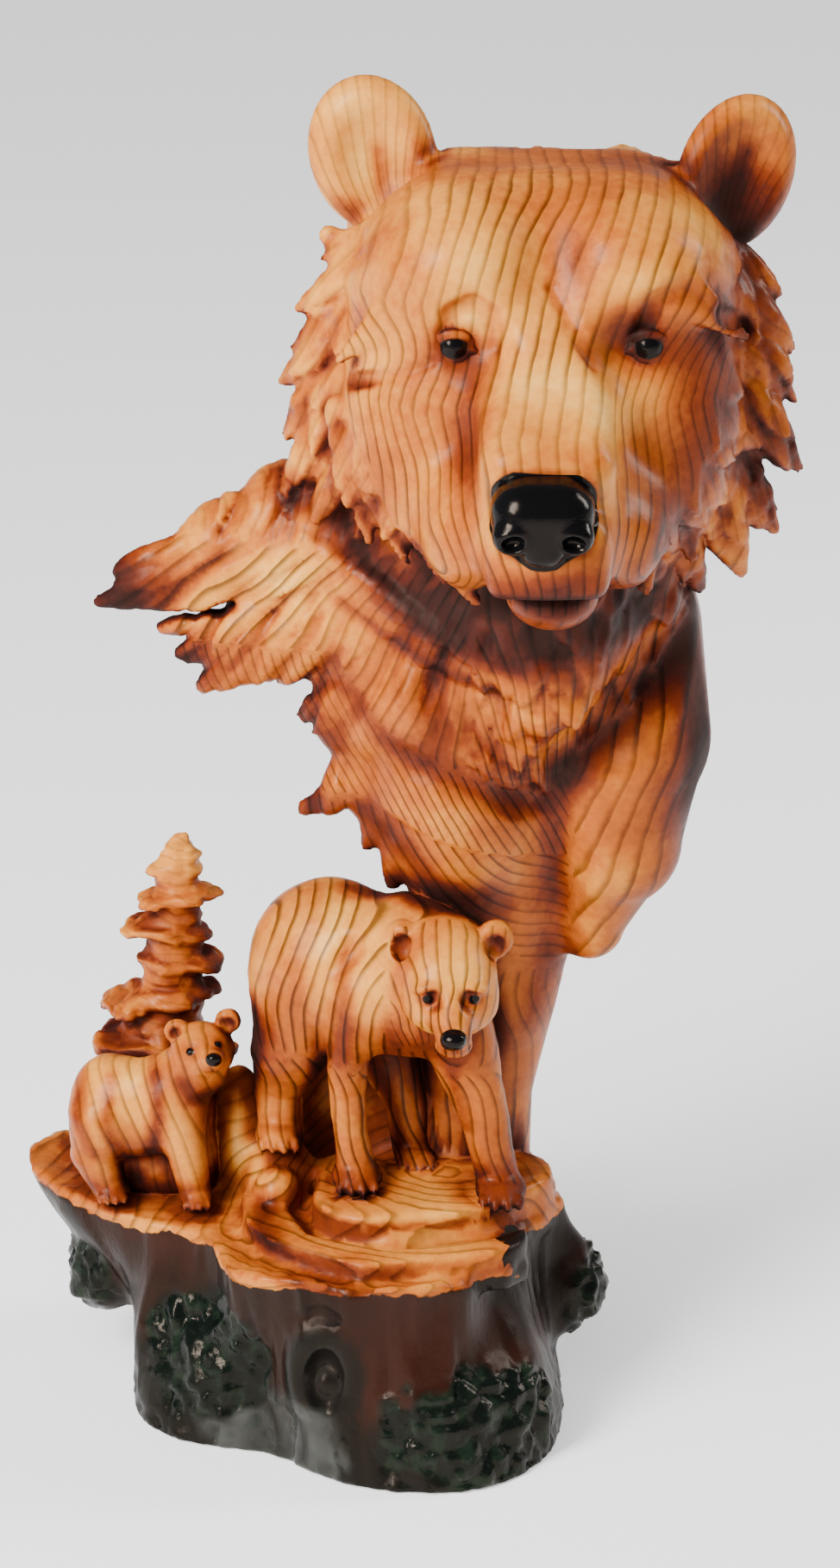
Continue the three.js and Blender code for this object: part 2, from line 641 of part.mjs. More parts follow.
// The ruff round the face: a thick collar whose edge breaks into tufts
function ruff(clay) {
  ball(clay, [45, 12, 238], [49, 26, 41], { blend: 5 });
  ball(clay, [45, 6, 224], [47, 30, 29], { blend: 5 });
  const tufts = [
    [[10, 0, 267], [-1.5, 2, 262.5], 4.5],
    [[6, -2, 260], [-7, 3, 251], 5],
    [[4, -2, 250], [-8, 4, 243], 6],
    [[3, -2, 245], [-10, 4, 235.5], 6.5],
    [[3, -2, 236], [-9.5, 4, 224], 8],
    [[2, -2, 226], [-8, 3, 212], 8],
    [[2, -6, 216], [-4, -2, 205], 5],
    [[82, 0, 265], [94, 3, 254], 5],
    [[84, -2, 256], [97, 4, 243], 7],
    [[84, -2, 246], [98, 4, 232], 8],
    [[86, -2, 233], [99.6, 4, 216.5], 8],
    [[84, -2, 218], [95, 4, 203], 8],
    [[80, -4, 212], [88, 2, 194], 7],
    [[72, -6, 206], [79, 0, 191], 6],
  ];
  for (const [root, tip, width] of tufts) {
    lock(clay, root, tip, width, { blend: 2, flat: 0.8, sharp: 0.25 });
  }
}

// Broad locks down the back, plainer than the front
function mantle(clay) {
  const rows = [
    { height: 268, drop: 24, half: 34, depth: 30, count: 5 },
    { height: 240, drop: 26, half: 36, depth: 33, count: 5 },
    { height: 212, drop: 26, half: 30, depth: 33, count: 4 },
    { height: 184, drop: 26, half: 24, depth: 31, count: 4 },
    { height: 156, drop: 24, half: 18, depth: 28, count: 3 },
  ];
  rows.forEach(({ height, drop, half, depth, count }, row) => {
    for (let i = 0; i < count; i += 1) {
      const across = count === 1 ? 0 : (2 * i) / (count - 1) - 1;
      const x = 44 + across * half;
      const y = depth * (1 - 0.35 * across * across) + 1;
      const root = [x, y - 3, height + 6];
      const tip = [x + 3 * Math.sin(i * 2.3 + row), y + 1.5, height - drop];
      lock(clay, root, tip, 8, { blend: 3, sag: [0, 2.5, 0], flat: 0.55 });
    }
  });
}

// The face: skull, brows, cheeks, muzzle, nose, ears and eyes
function face(clay) {
  const size = DRAWN.bust / BUST_HEIGHT;
  const middle = 44.6;
  block(clay, [44.5, 2, 249], [40.5, 36, 34.6], 26, { blend: 4 });
  ball(clay, [45, -8, 247], [37, 30, 30], { blend: 4 });
  ball(clay, [22, -12, 229], [19, 21, 26], { blend: 6 });
  ball(clay, [68, -12, 229], [17, 21, 26], { blend: 6 });
  ball(clay, [27, -22, 268], [15, 13, 10], { blend: 8, tilt: [0, -12, 0] });
  ball(clay, [63, -22, 268], [15, 13, 10], { blend: 8, tilt: [0, 12, 0] });
  ball(clay, [45, -38, 275], [5, 8, 16], { blend: 8, tilt: [-12, 0, 0], cut: true });
  lock(clay, [20, -26, 262], [2.5, -21, 246.5], 5, { blend: 2.5 });
  lock(clay, [66, -31, 265], [85.5, -26, 252.5], 6, { blend: 2, sag: [0, -1, 1.5] });
  // muzzle, lips and chin
  block(clay, [middle, -32, 235.5], [14.5, 27, 16.5], 8, { blend: 7, tilt: [32, 0, 0] });
  ball(clay, [middle, -47, 216], [15.5, 19.5, 12], { blend: 4 });
  ball(clay, [middle, -43, 202.5], [12, 16, 8.5], { blend: 1.5 });
  const lips = [[28, -52, 204.5], [44, -66.5, 205.3], [60, -52, 204.5]];
  limb(clay, lips, [1.2, 1.2, 1.2], { blend: 0.8, cut: true });
  // nose pad and nostrils
  const nose = [43.8, -62.5, 223.5];
  const noseHalf = [(NOSE_WIDTH / 2) * size, 8.5, (NOSE_HEIGHT / 2) * size];
  block(clay, nose, noseHalf, 3.6, { blend: 0.8, tilt: [14, 0, 0] });
  for (const side of [-1, 1]) {
    const nostril = [nose[0] + side * noseHalf[0] * 0.52, nose[1] - 8.5, nose[2] - 3];
    ball(clay, nostril, [2.6, 3, 2.2], { blend: 1, cut: true });
  }
  // ears
  const earHalf = [(EAR_WIDTH / 2) * size, 6.5, (EAR_HEIGHT / 2) * size];
  const ears = [
    { foot: [9, 12, 266], tilt: [0, -12, -8], hollow: [0.5, -8.6] },
    { foot: [85.5, 12, 262], tilt: [0, 22, 25], hollow: [1.5, -7.4] },
  ];
  for (const { foot, tilt, hollow } of ears) {
    const centre = [foot[0], foot[1], foot[2] + earHalf[2]];
    ball(clay, centre, earHalf, { blend: 2.5, tilt });
    const bowl = [centre[0] + hollow[0], centre[1] + hollow[1], centre[2] + 0.5];
    ball(clay, bowl, [earHalf[0] * 0.77, 6.5, earHalf[2] * 0.82], { blend: 2, tilt, cut: true });
  }
  // eyes in their sockets
  const eye = (EYE_DIAMETER / 2) * size;
  for (const [x, side] of [[25.9, -1], [64.6, 1]]) {
    ball(clay, [x - side * 3, -38.5, 253.5], [8.5, 6.5, 6.5], { blend: 5, cut: true });
    ball(clay, [x, -27.6, 252], [eye * 1.7, 4.8, eye * 1.4], { blend: 2 });
    ball(clay, [x, -29, 252], [eye, eye, eye * 0.9], { blend: 0.5 });
  }
  // locks sweeping down from the cheeks
  const sweep = [
    [[3, -14, 234], [9, -16, 206], 5],
    [[7, -19, 230], [17, -22, 203], 5],
    [[12, -24, 226], [25, -28, 200.5], 5],
    [[20, -30, 220], [31, -36, 199], 4.5],
    [[76, -22, 226], [76, -18, 203], 6],
    [[70, -27, 222], [66, -28, 200], 5.5],
  ];
  for (const [root, tip, width] of sweep) {
    lock(clay, root, tip, width, { blend: 1.5, sag: [-1.5, -1, 0], across: [0.3, 1, 0], sharp: 0.3 });
  }
}

// Models one form in clay and brings its skin down to the wanted triangles
function modelled(shapes, low, high, step, triangles) {
  const clay = new Clay(low, high, step);
  shapes.forEach((shape) => shape(clay));
  return simplify(skinOf(clay), triangles);
}

const spread = STUMP_RIM_RADIUS / DRAWN.rim;
const onStump = (x, y, drop = 0) => [x * spread, y * spread, STUMP_HEIGHT - drop];
const even = (scale) => [scale, scale, scale];

const stumpSkin = stand(
  modelled([stump, ledges], [-84, -70, -10], [74, 70, 76], STUMP_STEP, STUMP_TRIANGLES),
  [0, 0, 0],
  [0, 0, 0],
  [spread, spread, STUMP_HEIGHT / DRAWN.stump],
);
const bustSkin = stand(
  modelled([trunk, wing, ruff, mantle, face], [-60, -86, 20], [112, 62, 308], BUST_STEP, BUST_TRIANGLES),
  [31, 17, 47],
  onStump(31, 17),
  even(BUST_HEIGHT / DRAWN.bust),
);
const motherSkin = stand(
  modelled([mother], [-30, -48, 44], [52, 40, 134], FIGURE_STEP, MOTHER_TRIANGLES),
  [10, 0, 54],
  onStump(10, 0, DRAWN.stump - 54 + 7.5 - LEDGE_RISE),
  even(MOTHER_HEIGHT / DRAWN.mother),
);
const cubSkin = stand(
  modelled([cub], [-70, -22, 40], [-12, 26, 100], FIGURE_STEP, CUB_TRIANGLES),
  [-41, 3, 47],
  onStump(-41, 3),
  even(CUB_HEIGHT / DRAWN.cub),
);
const firSkin = stand(
  modelled([fir], [-66, 2, 34], [-16, 48, 134], FIGURE_STEP, TREE_TRIANGLES),
  [-42.5, 25, 47],
  onStump(-42.5, 25),
  even(TREE_HEIGHT / DRAWN.tree),
);

const wasm = await Module();
wasm.setup();

function solidOf({ positions, faces }) {
  const used = new Map();
  const coordinates = [];
  const corners = [];
  for (const face of faces) {
    for (const v of face) {
      if (!used.has(v)) {
        used.set(v, used.size);
        coordinates.push(...positions[v]);
      }
      corners.push(used.get(v));
    }
  }
  const mesh = new wasm.Mesh({
    numProp: 3,
    vertProperties: new Float32Array(coordinates),
    triVerts: new Uint32Array(corners),
  });
  return new wasm.Manifold(mesh);
}

const solids = [stumpSkin, bustSkin, motherSkin, cubSkin, firSkin].map(solidOf);

// Everything below the underside is cut away, so that the stump stands flat
const slabDepth = 30;
const slab = new THREE.BoxGeometry(400, 400, slabDepth).translate(0, 0, -slabDepth / 2);
slab.deleteAttribute('normal');
slab.deleteAttribute('uv');
const slabSkin = mergeVertices(slab);
const belowGround = new wasm.Manifold(new wasm.Mesh({
  numProp: 3,
  vertProperties: new Float32Array(slabSkin.attributes.position.array),
  triVerts: new Uint32Array(slabSkin.index.array),
}));
const casting = solids.reduce((whole, solid) => whole.add(solid)).subtract(belowGround);
const result = casting.getMesh();

const geometry = new THREE.BufferGeometry();
geometry.setAttribute('position', new THREE.BufferAttribute(result.vertProperties, 3));
geometry.setIndex(new THREE.BufferAttribute(result.triVerts, 1));
geometry.computeVertexNormals();

const paintedResin = new THREE.MeshStandardMaterial({ color: 0xc98a4b, roughness: 0.35, metalness: 0 });
const mesh = new THREE.Mesh(geometry, paintedResin);
mesh.name = 'bear_family_casting';

const figurine = new THREE.Group();
figurine.name = 'bear_family_figurine';
figurine.add(mesh);

export default figurine;
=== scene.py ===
import math

import bpy
import numpy as np
import openvdb
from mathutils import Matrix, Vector


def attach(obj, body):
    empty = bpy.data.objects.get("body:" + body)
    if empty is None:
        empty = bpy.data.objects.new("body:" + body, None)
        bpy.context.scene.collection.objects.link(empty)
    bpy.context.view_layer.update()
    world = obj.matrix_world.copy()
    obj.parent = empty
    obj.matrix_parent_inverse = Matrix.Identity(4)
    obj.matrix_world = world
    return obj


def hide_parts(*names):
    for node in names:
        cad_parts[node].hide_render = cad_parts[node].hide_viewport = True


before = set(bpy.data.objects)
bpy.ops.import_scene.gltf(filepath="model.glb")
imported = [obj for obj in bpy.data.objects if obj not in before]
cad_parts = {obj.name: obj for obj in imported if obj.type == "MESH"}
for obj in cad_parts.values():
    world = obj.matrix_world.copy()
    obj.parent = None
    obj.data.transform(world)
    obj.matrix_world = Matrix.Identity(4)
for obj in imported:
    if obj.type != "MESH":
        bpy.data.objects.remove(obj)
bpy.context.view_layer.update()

# Bear family figurine: one cast and painted resin piece.
# Forms are modelled in millimetres as soft clay and turned into one mesh in metres.

FAR_AWAY = 60.0
MILLIMETRE = 0.001

# Fineness of the clay grids, in millimetres
BUST_STEP = 1.0
STUMP_STEP = 1.2
FIGURE_STEP = 0.6
DETAIL_STEP = 0.4

# Triangles kept for each modelled form
BUST_TRIANGLES = 106000
STUMP_TRIANGLES = 28000
MOTHER_TRIANGLES = 23000
CUB_TRIANGLES = 12000
FIR_TRIANGLES = 12000
NOSE_TRIANGLES = 4000
EYE_TRIANGLES = 2400


# Numbers that look random but never change

def scramble(whole, seed):
    value = (whole * 374761393 + seed * 668265263) & 0xFFFFFFFF
    value = ((value ^ (value >> 13)) * 1274126177) & 0xFFFFFFFF
    return ((value ^ (value >> 16)) & 0xFFFFFF) / float(0xFFFFFF)


def noise(points, seed):
    """Smooth noise from -1 to 1 at an array of points with two or three coordinates."""
    axes = points.shape[-1]
    base = np.floor(points).astype(np.int64)
    part = points - base
    part = part * part * (3 - 2 * part)
    total = np.zeros(points.shape[:-1])
    steps = (1, 57, 3571)
    for corner in range(2 ** axes):
        weight = np.ones(points.shape[:-1])
        key = np.zeros(points.shape[:-1], dtype=np.int64)
        for axis in range(axes):
            bit = (corner >> axis) & 1
            weight = weight * (part[..., axis] if bit else 1 - part[..., axis])
            key = key + (base[..., axis] + bit) * steps[axis]
        total += weight * scramble(key & 0xFFFFFFF, seed)
    return total * 2 - 1


def ramp(value, low, high):
    """Runs smoothly from 0 at low to 1 at high."""
    t = np.clip((value - low) / (high - low), 0, 1)
    return t * t * (3 - 2 * t)


# Clay: a grid of distances to the surface, negative inside

def soft_min(a, b, blend):
    h = np.maximum(blend - np.abs(a - b), 0) / blend
    return np.minimum(a, b) - h * h * blend * 0.25


def soft_max(a, b, blend):
    return -soft_min(-a, -b, blend)


class Clay:
    def __init__(self, low, high, step):
        self.low = np.array(low, dtype=float)
        self.step = step
        count = np.ceil((np.array(high) - self.low) / step).astype(int) + 1
        self.field = np.full(count, FAR_AWAY, dtype=np.float32)

    def put(self, form, low, high, blend, cut=False):
        room = blend + 4
        count = np.array(self.field.shape)
        first = np.maximum(np.floor((np.array(low) - room - self.low) / self.step).astype(int), 0)
        last = np.minimum(np.ceil((np.array(high) + room - self.low) / self.step).astype(int) + 1, count)
        if (last <= first).any():
            return
        lines = [self.low[i] + self.step * np.arange(first[i], last[i]) for i in range(3)]
        grid = np.stack(np.meshgrid(*lines, indexing="ij"), axis=-1).astype(np.float32)
        window = tuple(slice(first[i], last[i]) for i in range(3))
        distance = form(grid).astype(np.float32)
        old = self.field[window]
        if cut:
            self.field[window] = soft_max(old, -distance, blend)
        else:
            self.field[window] = soft_min(old, distance, blend)

    def sample(self, points):
        """Distance at any points, far away outside the grid."""
        place = (points - self.low) / self.step
        top = np.array(self.field.shape) - 1.001
        inside = ((place >= 0) & (place <= top)).all(axis=-1)
        place = np.clip(place, 0, top)
        base = place.astype(int)
        part = place - base
        total = np.zeros(len(points))
        for corner in range(8):
            bits = [(corner >> axis) & 1 for axis in range(3)]
            weight = np.ones(len(points))
            for axis in range(3):
                weight = weight * (part[:, axis] if bits[axis] else 1 - part[:, axis])
            total += weight * self.field[base[:, 0] + bits[0], base[:, 1] + bits[1], base[:, 2] + bits[2]]
        return np.where(inside, total, FAR_AWAY)

    def front(self, x, z):
        """The Y of the first surface met when looking from the front at x, z."""
        i = int(round((x - self.low[0]) / self.step))
        k = int(round((z - self.low[2]) / self.step))
        line = self.field[i, :, k]
        inside = np.nonzero(line < 0)[0]
        return self.low[1] + self.step * (inside[0] if len(inside) else len(line) / 2)


def turn(tilt):
    a, b, c = (math.radians(v) for v in tilt)
    about_x = np.array(((1, 0, 0), (0, math.cos(a), -math.sin(a)), (0, math.sin(a), math.cos(a))))
    about_y = np.array(((math.cos(b), 0, math.sin(b)), (0, 1, 0), (-math.sin(b), 0, math.cos(b))))
    about_z = np.array(((math.cos(c), -math.sin(c), 0), (math.sin(c), math.cos(c), 0), (0, 0, 1)))
    return (about_z @ about_y @ about_x).astype(np.float32)


def egg_distance(points, at, radii, tilt=(0, 0, 0)):
    radii = np.array(radii, dtype=np.float32)
    q = (points - np.array(at, dtype=np.float32)) @ turn(tilt)
    near = np.sqrt(((q / radii) ** 2).sum(axis=-1))
    slope = np.sqrt(((q / radii ** 2) ** 2).sum(axis=-1)) + 1e-6
    return near * (near - 1) / slope


def block_distance(points, at, half, rounding, tilt=(0, 0, 0)):
    q = np.abs((points - np.array(at, dtype=np.float32)) @ turn(tilt)) - np.array(half) + rounding
    outside = np.sqrt((np.maximum(q, 0) ** 2).sum(axis=-1))
    return outside + np.minimum(q.max(axis=-1), 0) - rounding


def ball(clay, at, radii, blend=2.0, tilt=(0, 0, 0), cut=False):
    at = np.array(at, dtype=float)
    reach = max(radii)
    clay.put(lambda p: egg_distance(p, at, radii, tilt), at - reach, at + reach, blend, cut)


def block(clay, at, half, rounding, blend=2.0, tilt=(0, 0, 0), cut=False):
    at = np.array(at, dtype=float)
    reach = math.hypot(*half)
    clay.put(lambda p: block_distance(p, at, half, rounding, tilt), at - reach, at + reach, blend, cut)


def chain_distance(points, joints, radii):
    """Distance to a chain whose radius runs from joint to joint."""
    nearest = None
    for i in range(len(joints) - 1):
        bone = joints[i + 1] - joints[i]
        away = points - joints[i]
        t = np.clip((away @ bone) / (bone @ bone + 1e-9), 0, 1)
        d = np.sqrt(((away - t[..., None] * bone) ** 2).sum(axis=-1))
        d = d - (radii[i] + (radii[i + 1] - radii[i]) * t)
        nearest = d if nearest is None else np.minimum(nearest, d)
    return nearest


def limb(clay, points, radii, blend=2.0, flat=1.0, across=(0, 1, 0), cut=False):
    """A chain of rounds, pressed flat along one direction."""
    joints = np.array(points, dtype=np.float32)
    way = np.array(across, dtype=np.float32)
    way = way / np.linalg.norm(way)
    squash = 1 / flat - 1

    def pressed(p):
        return p + way * ((p @ way) * squash)[..., None]

    def form(p):
        return chain_distance(pressed(p), pressed(joints), radii) * (max(flat, 0.7) if flat < 1 else 1)

    widest = max(radii)
    clay.put(form, joints.min(axis=0) - widest, joints.max(axis=0) + widest, blend, cut)


def slab(clay, outline, radii, top, bottom, blend=1.0, lip=1.6):
    """A flat terrace with steep sides: a chain of rounds seen from above, filled up to its top."""
    joints = np.array(outline, dtype=np.float32)

    def form(p):
        nearest = chain_distance(p[..., :2], joints, radii)
        return soft_max(soft_max(nearest, p[..., 2] - top, lip), bottom - p[..., 2], 1)

    reach = max(radii)
    low = (*(joints.min(axis=0) - reach), bottom)
    high = (*(joints.max(axis=0) + reach), top)
    clay.put(form, low, high, blend)


def lock(clay, root, tip, width, blend=2.0, sag=(0, -1, 1), flat=0.7, across=(0, 1, 0), sharp=0.2):
    """A lock of fur: a curved chain that swells a little, then runs out to a tip."""
    root, tip, sag = (np.array(v, dtype=float) for v in (root, tip, sag))
    points, radii = [], []
    for t in np.linspace(0, 1, 5):
        points.append(root + (tip - root) * t + sag * 4 * t * (1 - t))
        radii.append(width * (sharp + (1 - sharp) * (1 - t) ** 0.7 * (0.75 + 0.9 * t * (1 - t))))
    limb(clay, points, radii, blend, flat, across)


def laid(clay, path, radii, blend=1.2, sink=0.5, cut=False):
    """A ridge or a groove laid on the front surface along a path of x, z."""
    joints = [(x, clay.front(x, z) + sink * radius, z) for (x, z), radius in zip(path, radii)]
    limb(clay, joints, radii, blend, cut=cut)


# The stump: a wide lobed rim over a narrower lobed foot, with a waist and bark folds

STUMP_TOP = 47.0
RIM_RADIUS = 51.0
FOOT_RADIUS = 50.5
RIM_LOBES = ((157, 26, 24), (212, -17, 26), (262, -7, 24), (332, -8, 20), (60, 3, 40))
FOOT_LOBES = ((310, 11, 30), (246, -12, 26), (150, -6, 50))


def lobed(angle, radius, lobes):
    for centre, rise, width in lobes:
        apart = (angle - centre + 180) % 360 - 180
        radius = radius + rise * np.exp(-(apart / width) ** 2)
    return radius


def rim_height(x):
    return STUMP_TOP - 0.5 + 0.9 * np.sin(x * 0.07 + 1)


def stump(clay):
    def form(p):
        x, y, z = p[..., 0], p[..., 1], p[..., 2]
        angle = np.degrees(np.arctan2(y, x))
        rise = np.clip(z / STUMP_TOP, 0, 1)
        rim = lobed(angle, RIM_RADIUS, RIM_LOBES)
        foot = lobed(angle, FOOT_RADIUS, FOOT_LOBES)
        middle = np.sin(rise * math.pi)
        nip = 4 * middle * (0.6 + 0.4 * np.sin(np.radians(angle * 5 + 40)))
        fold = 1.6 * middle * np.sin(np.radians(angle * 11) + 1.5 * np.sin(z * 0.08))
        leaning = (rise * rise * (3 - 2 * rise)) ** 1.4
        side = (np.hypot(x, y) - (foot + (rim - foot) * leaning) + nip - fold) * 0.85
        return soft_max(soft_max(side, z - rim_height(x), 1.2), -z, 0.6)

    clay.put(form, (-80, -66, 0), (70, 66, 50), 1)
    # broken root stubs at both sides
    ball(clay, (-53, 16, 22), (9, 12, 10), 4)
    ball(clay, (53, 8, 21.5), (8, 12, 11), 5)
    # folds that run down from the rim to the stubs
    limb(clay, [(47, 2, 42), (52, 4, 32), (55, 6, 22)], [3, 4, 5], 5)
    limb(clay, [(-60, 18, 40), (-55, 15, 30), (-54, 13, 20)], [3, 4, 5], 5)
    # knot: an oval ring round a hollow with a nub inside
    ball(clay, (-2, -39.5, 24), (8.6, 6.6, 11.5), 3)
    ball(clay, (-2, -47.5, 24), (5.2, 7, 8), 1.5, cut=True)
    ball(clay, (-1.2, -41.5, 21.5), (2.4, 2.6, 3.8), 1)
    wrinkle = [(-12, -40, 30), (-9, -42, 37), (-2, -44, 39.5), (5, -43, 36)]
    limb(clay, wrinkle, [0.8, 1.3, 1.4, 0.8], 2, cut=True)
    # plates of rough bark at the foot
    ball(clay, (-29, -19, 13), (13, 8, 11), 4, tilt=(0, 0, -55))
    ball(clay, (32, -39, 12), (17, 7, 12), 4, tilt=(0, 0, 35))
    # crack down the front
    limb(clay, [(-8, -41, 12), (-10, -40, 6), (-11, -39, 0)], [0.5, 0.9, 1.3], 1, cut=True)


def ledges(clay):
    # the wide lower ledge, then the upper one under the fore paws, with channels along their feet
    slab(clay, ((-13, -6), (-9, -19), (8, -29), (31, -24)), (8, 12, 13, 12), 50.4, 40, 1.2, 2.0)
    upper_channel = [
        (-9, 8, 52), (-9, -8, 51), (-3, -23, 50.5), (12, -30.5, 50.5), (33, -26, 50.5), (46, -15, 50.5)]
    limb(clay, upper_channel, [2.0, 2.8, 3.4, 3.2, 2.8, 2.4], 2.0, cut=True)
    slab(clay, ((3, 2), (9, -12), (25, -10), (38, 0)), (8, 14, 13.5, 11), 54.0, 40, 0.8, 1.8)
    lower_channel = [(-24, 2, 48.5), (-25, -14, 48), (-16, -31, 48), (6, -44, 47.5), (28, -40, 47.5)]
    limb(clay, lower_channel, [1.8, 2.4, 2.4, 2.0, 1.4], 2.0, cut=True)
    ball(clay, (24, 10, 46), (20, 20, 8), 3)
    # rock under the raised hind paw, the boulder behind the cub and the bank behind the mother
    ball(clay, (-12.5, 4, 50), (8, 10, 9.5), 2.5)
    ball(clay, (-13, -7, 51), (5.5, 6, 6.5), 1.2)
    ball(clay, (-22, 12, 54), (7.5, 8, 20), 4)
    ball(clay, (-34, 24, 46), (24, 16, 9), 4)
    ball(clay, (2, 26, 54), (19, 12, 30), 5)
    ball(clay, (14, 22, 62), (12, 8, 26), 5)


FIR_DEPTH = 25.0
# Core from the tip down: x, height, radius
FIR_CORE = (
    (-34.0, 124.4, 1.1), (-35, 121, 3.8), (-35.3, 116, 4.5), (-36.2, 109, 5.8),
    (-37, 98, 6.5), (-37.6, 89, 7.4), (-40.5, 74, 10), (-42, 50, 12))
# Tiers from the tip down: height, left end, right end, half thickness
FIR_TIERS = (
    (121.4, -39.6, -30.4, 0.7),
    (117.8, -42.6, -30.0, 1.2),
    (114.4, -41.4, -29.8, 1.1),
    (111.2, -46.0, -25.6, 1.5),
    (103.4, -49.0, -28.0, 1.9),
    (95.4, -45.8, -24.6, 2.1),
    (86.6, -54.8, -26.6, 2.3),
    (75.5, -57.0, -23.0, 2.4),
    (66.0, -59.0, -22.0, 2.6),
    (56.0, -60.0, -24.0, 3.0),
)


def fir(clay):
    """A craggy trunk with jagged slabs that end in points at both sides."""
    core = [(x, FIR_DEPTH, z) for x, z, radius in FIR_CORE]
    limb(clay, core, [radius for x, z, radius in FIR_CORE], 1)
    for number, (height, left, right, thickness) in enumerate(FIR_TIERS):
        middle = np.array(((left + right) / 2, FIR_DEPTH, height))
        reach = (right - left) / 2
        turned = number * 1.9
        lean = 0.14 * math.sin(number * 2.2 + 1)

        def craggy(p):
            x, y, z = p[..., 0] - middle[0], p[..., 1] - middle[1], p[..., 2] - middle[2]
            angle = np.arctan2(y, x)
            away = np.hypot(x, y)
            edge = reach * (0.70 + 0.26 * np.abs(np.cos(angle)) ** 1.5 + 0.07 * np.cos(5 * angle + turned))
            share = away / edge
            height_off = z - lean * x + 1.6 * (away / reach) ** 2
            half = thickness * (1.5 - 1.0 * np.clip(share, 0, 1))
            return soft_max(away - edge, np.abs(height_off) - half, 0.6) * 0.8

        clay.put(craggy, middle - (24, 24, 8), middle + (24, 24, 8), 1.2)


def paw(clay, at, size, toes=4):
    """A paw with toes and small claws, pointing forwards."""
    x, y, z = at
    ball(clay, at, (size, size * 1.15, size * 0.62), 1.5)
    for toe in range(toes):
        across = (2 * toe / (toes - 1) - 1) * size * 0.68
        forward = size * (1.05 - 0.22 * abs(2 * toe / (toes - 1) - 1) ** 2)
        ball(clay, (x + across, y - forward, z - size * 0.12), (size * 0.24, size * 0.34, size * 0.34), 0.5)
        claw_root = (x + across, y - forward - size * 0.22, z - size * 0.05)
        claw_tip = (x + across, y - forward - size * 0.40, z - size * 0.36)
        limb(clay, [claw_root, claw_tip], [size * 0.11, size * 0.05], 0.2)


def mother(clay):
    # body, hump and neck
    for at, radii in (
        ((-3.5, 8, 99), (16, 17, 20)),
        ((0.5, 5, 102.5), (15.5, 16, 18)),
        ((10, -1, 101.5), (15.5, 15.5, 18)),
        ((18, -6, 102), (13, 14, 17.5)),
        ((17, -4, 112), (9, 9, 8.5)),
    ):
        ball(clay, at, radii, 4)
    limb(clay, [(17, -6, 108), (24, -14, 110)], [12.5, 11], 4)
    ball(clay, (4, 12, 88), (10, 9, 12), 4)
    # folds between rump, belly and shoulder
    limb(clay, [(4, -12, 112), (1, -13, 100), (3, -12, 88)], [2, 2.4, 2], 4, cut=True)
    # head and muzzle
    ball(clay, (25.3, -19, 108.0), (10.6, 10, 9.8), 2)
    ball(clay, (25.6, -20.5, 103.5), (10.6, 9, 8), 2)
    limb(clay, [(25.6, -25, 105), (26.2, -32, 99.5)], [5.6, 4.0], 2)
    ball(clay, (26.3, -30.5, 97.3), (4.2, 4.5, 2.8), 0.8)
    limb(clay, [(22.6, -32, 98.2), (26.3, -35.6, 97.6), (30, -32, 98.2)], [0.35, 0.35, 0.35], 0.3, cut=True)
    ball(clay, MOTHER_NOSE, (2.7, 1.9, 2.0), 0.4)
    for side in (-1, 1):
        ball(clay, (25.2 + side * 10, -15, 115.4), (4.2, 2.8, 4.4), 0.8, tilt=(0, side * 15, side * 15))
        inner = (25.2 + side * 10.2, -18.4, 115.0)
        ball(clay, inner, (2.7, 2.6, 3.0), 0.6, tilt=(0, side * 15, side * 15), cut=True)
        ball(clay, (25.7 + side * 4.8, -29.8, 107), (2.6, 2.5, 2.2), 1.6, cut=True)
        ball(clay, (25.7 + side * 5, -27.5, 106.8), (1.4, 1.2, 1.2), 0.3)
        ball(clay, (25.7 + side * 5.2, -26.6, 109.4), (3.2, 2.6, 1.4), 1.2, tilt=(0, side * 18, 0))
    # legs and paws
    near_fore = [(7, -9, 100), (3.2, -8, 86), (3.0, -7, 76), (3.5, -7, 66), (5.0, -8, 58)]
    far_fore = [(26, -8, 96), (30, -8, 82), (33.5, -9, 70), (36, -10, 57)]
    raised_hind = [(-6, 6, 94), (-10, 3, 82), (-13, 5, 72), (-12.5, 3, 64)]
    far_hind = [(6, 14, 92), (12, 12, 76), (16, 10, 66), (17, 8, 56)]
    for leg, radii, foot, size in (
        (near_fore, [9.0, 4.8, 3.8, 3.8, 4.5], (5.2, -9.5, 56.2), 5.6),
        (far_fore, [8.5, 7, 5.4, 4.8], (37, -13, 54.6), 5.8),
        (raised_hind, [12.5, 9, 5.8, 4.8], (-12.5, 0, 62.2), 5.4),
        (far_hind, [11, 7, 5, 4.4], (18, 4, 54.4), 4.8),
    ):
        limb(clay, leg, radii, 3)
        paw(clay, foot, size)


MOTHER_NOSE = (26.2, -35.4, 100.4)
MOTHER_EYES = ((20.7, -27.5, 106.8), (30.7, -27.5, 106.8))
CUB_NOSE = (-26.4, -13.0, 86.2)
CUB_EYES = ((-31.8, -8.3, 86.0), (-25.6, -7.8, 87.6))


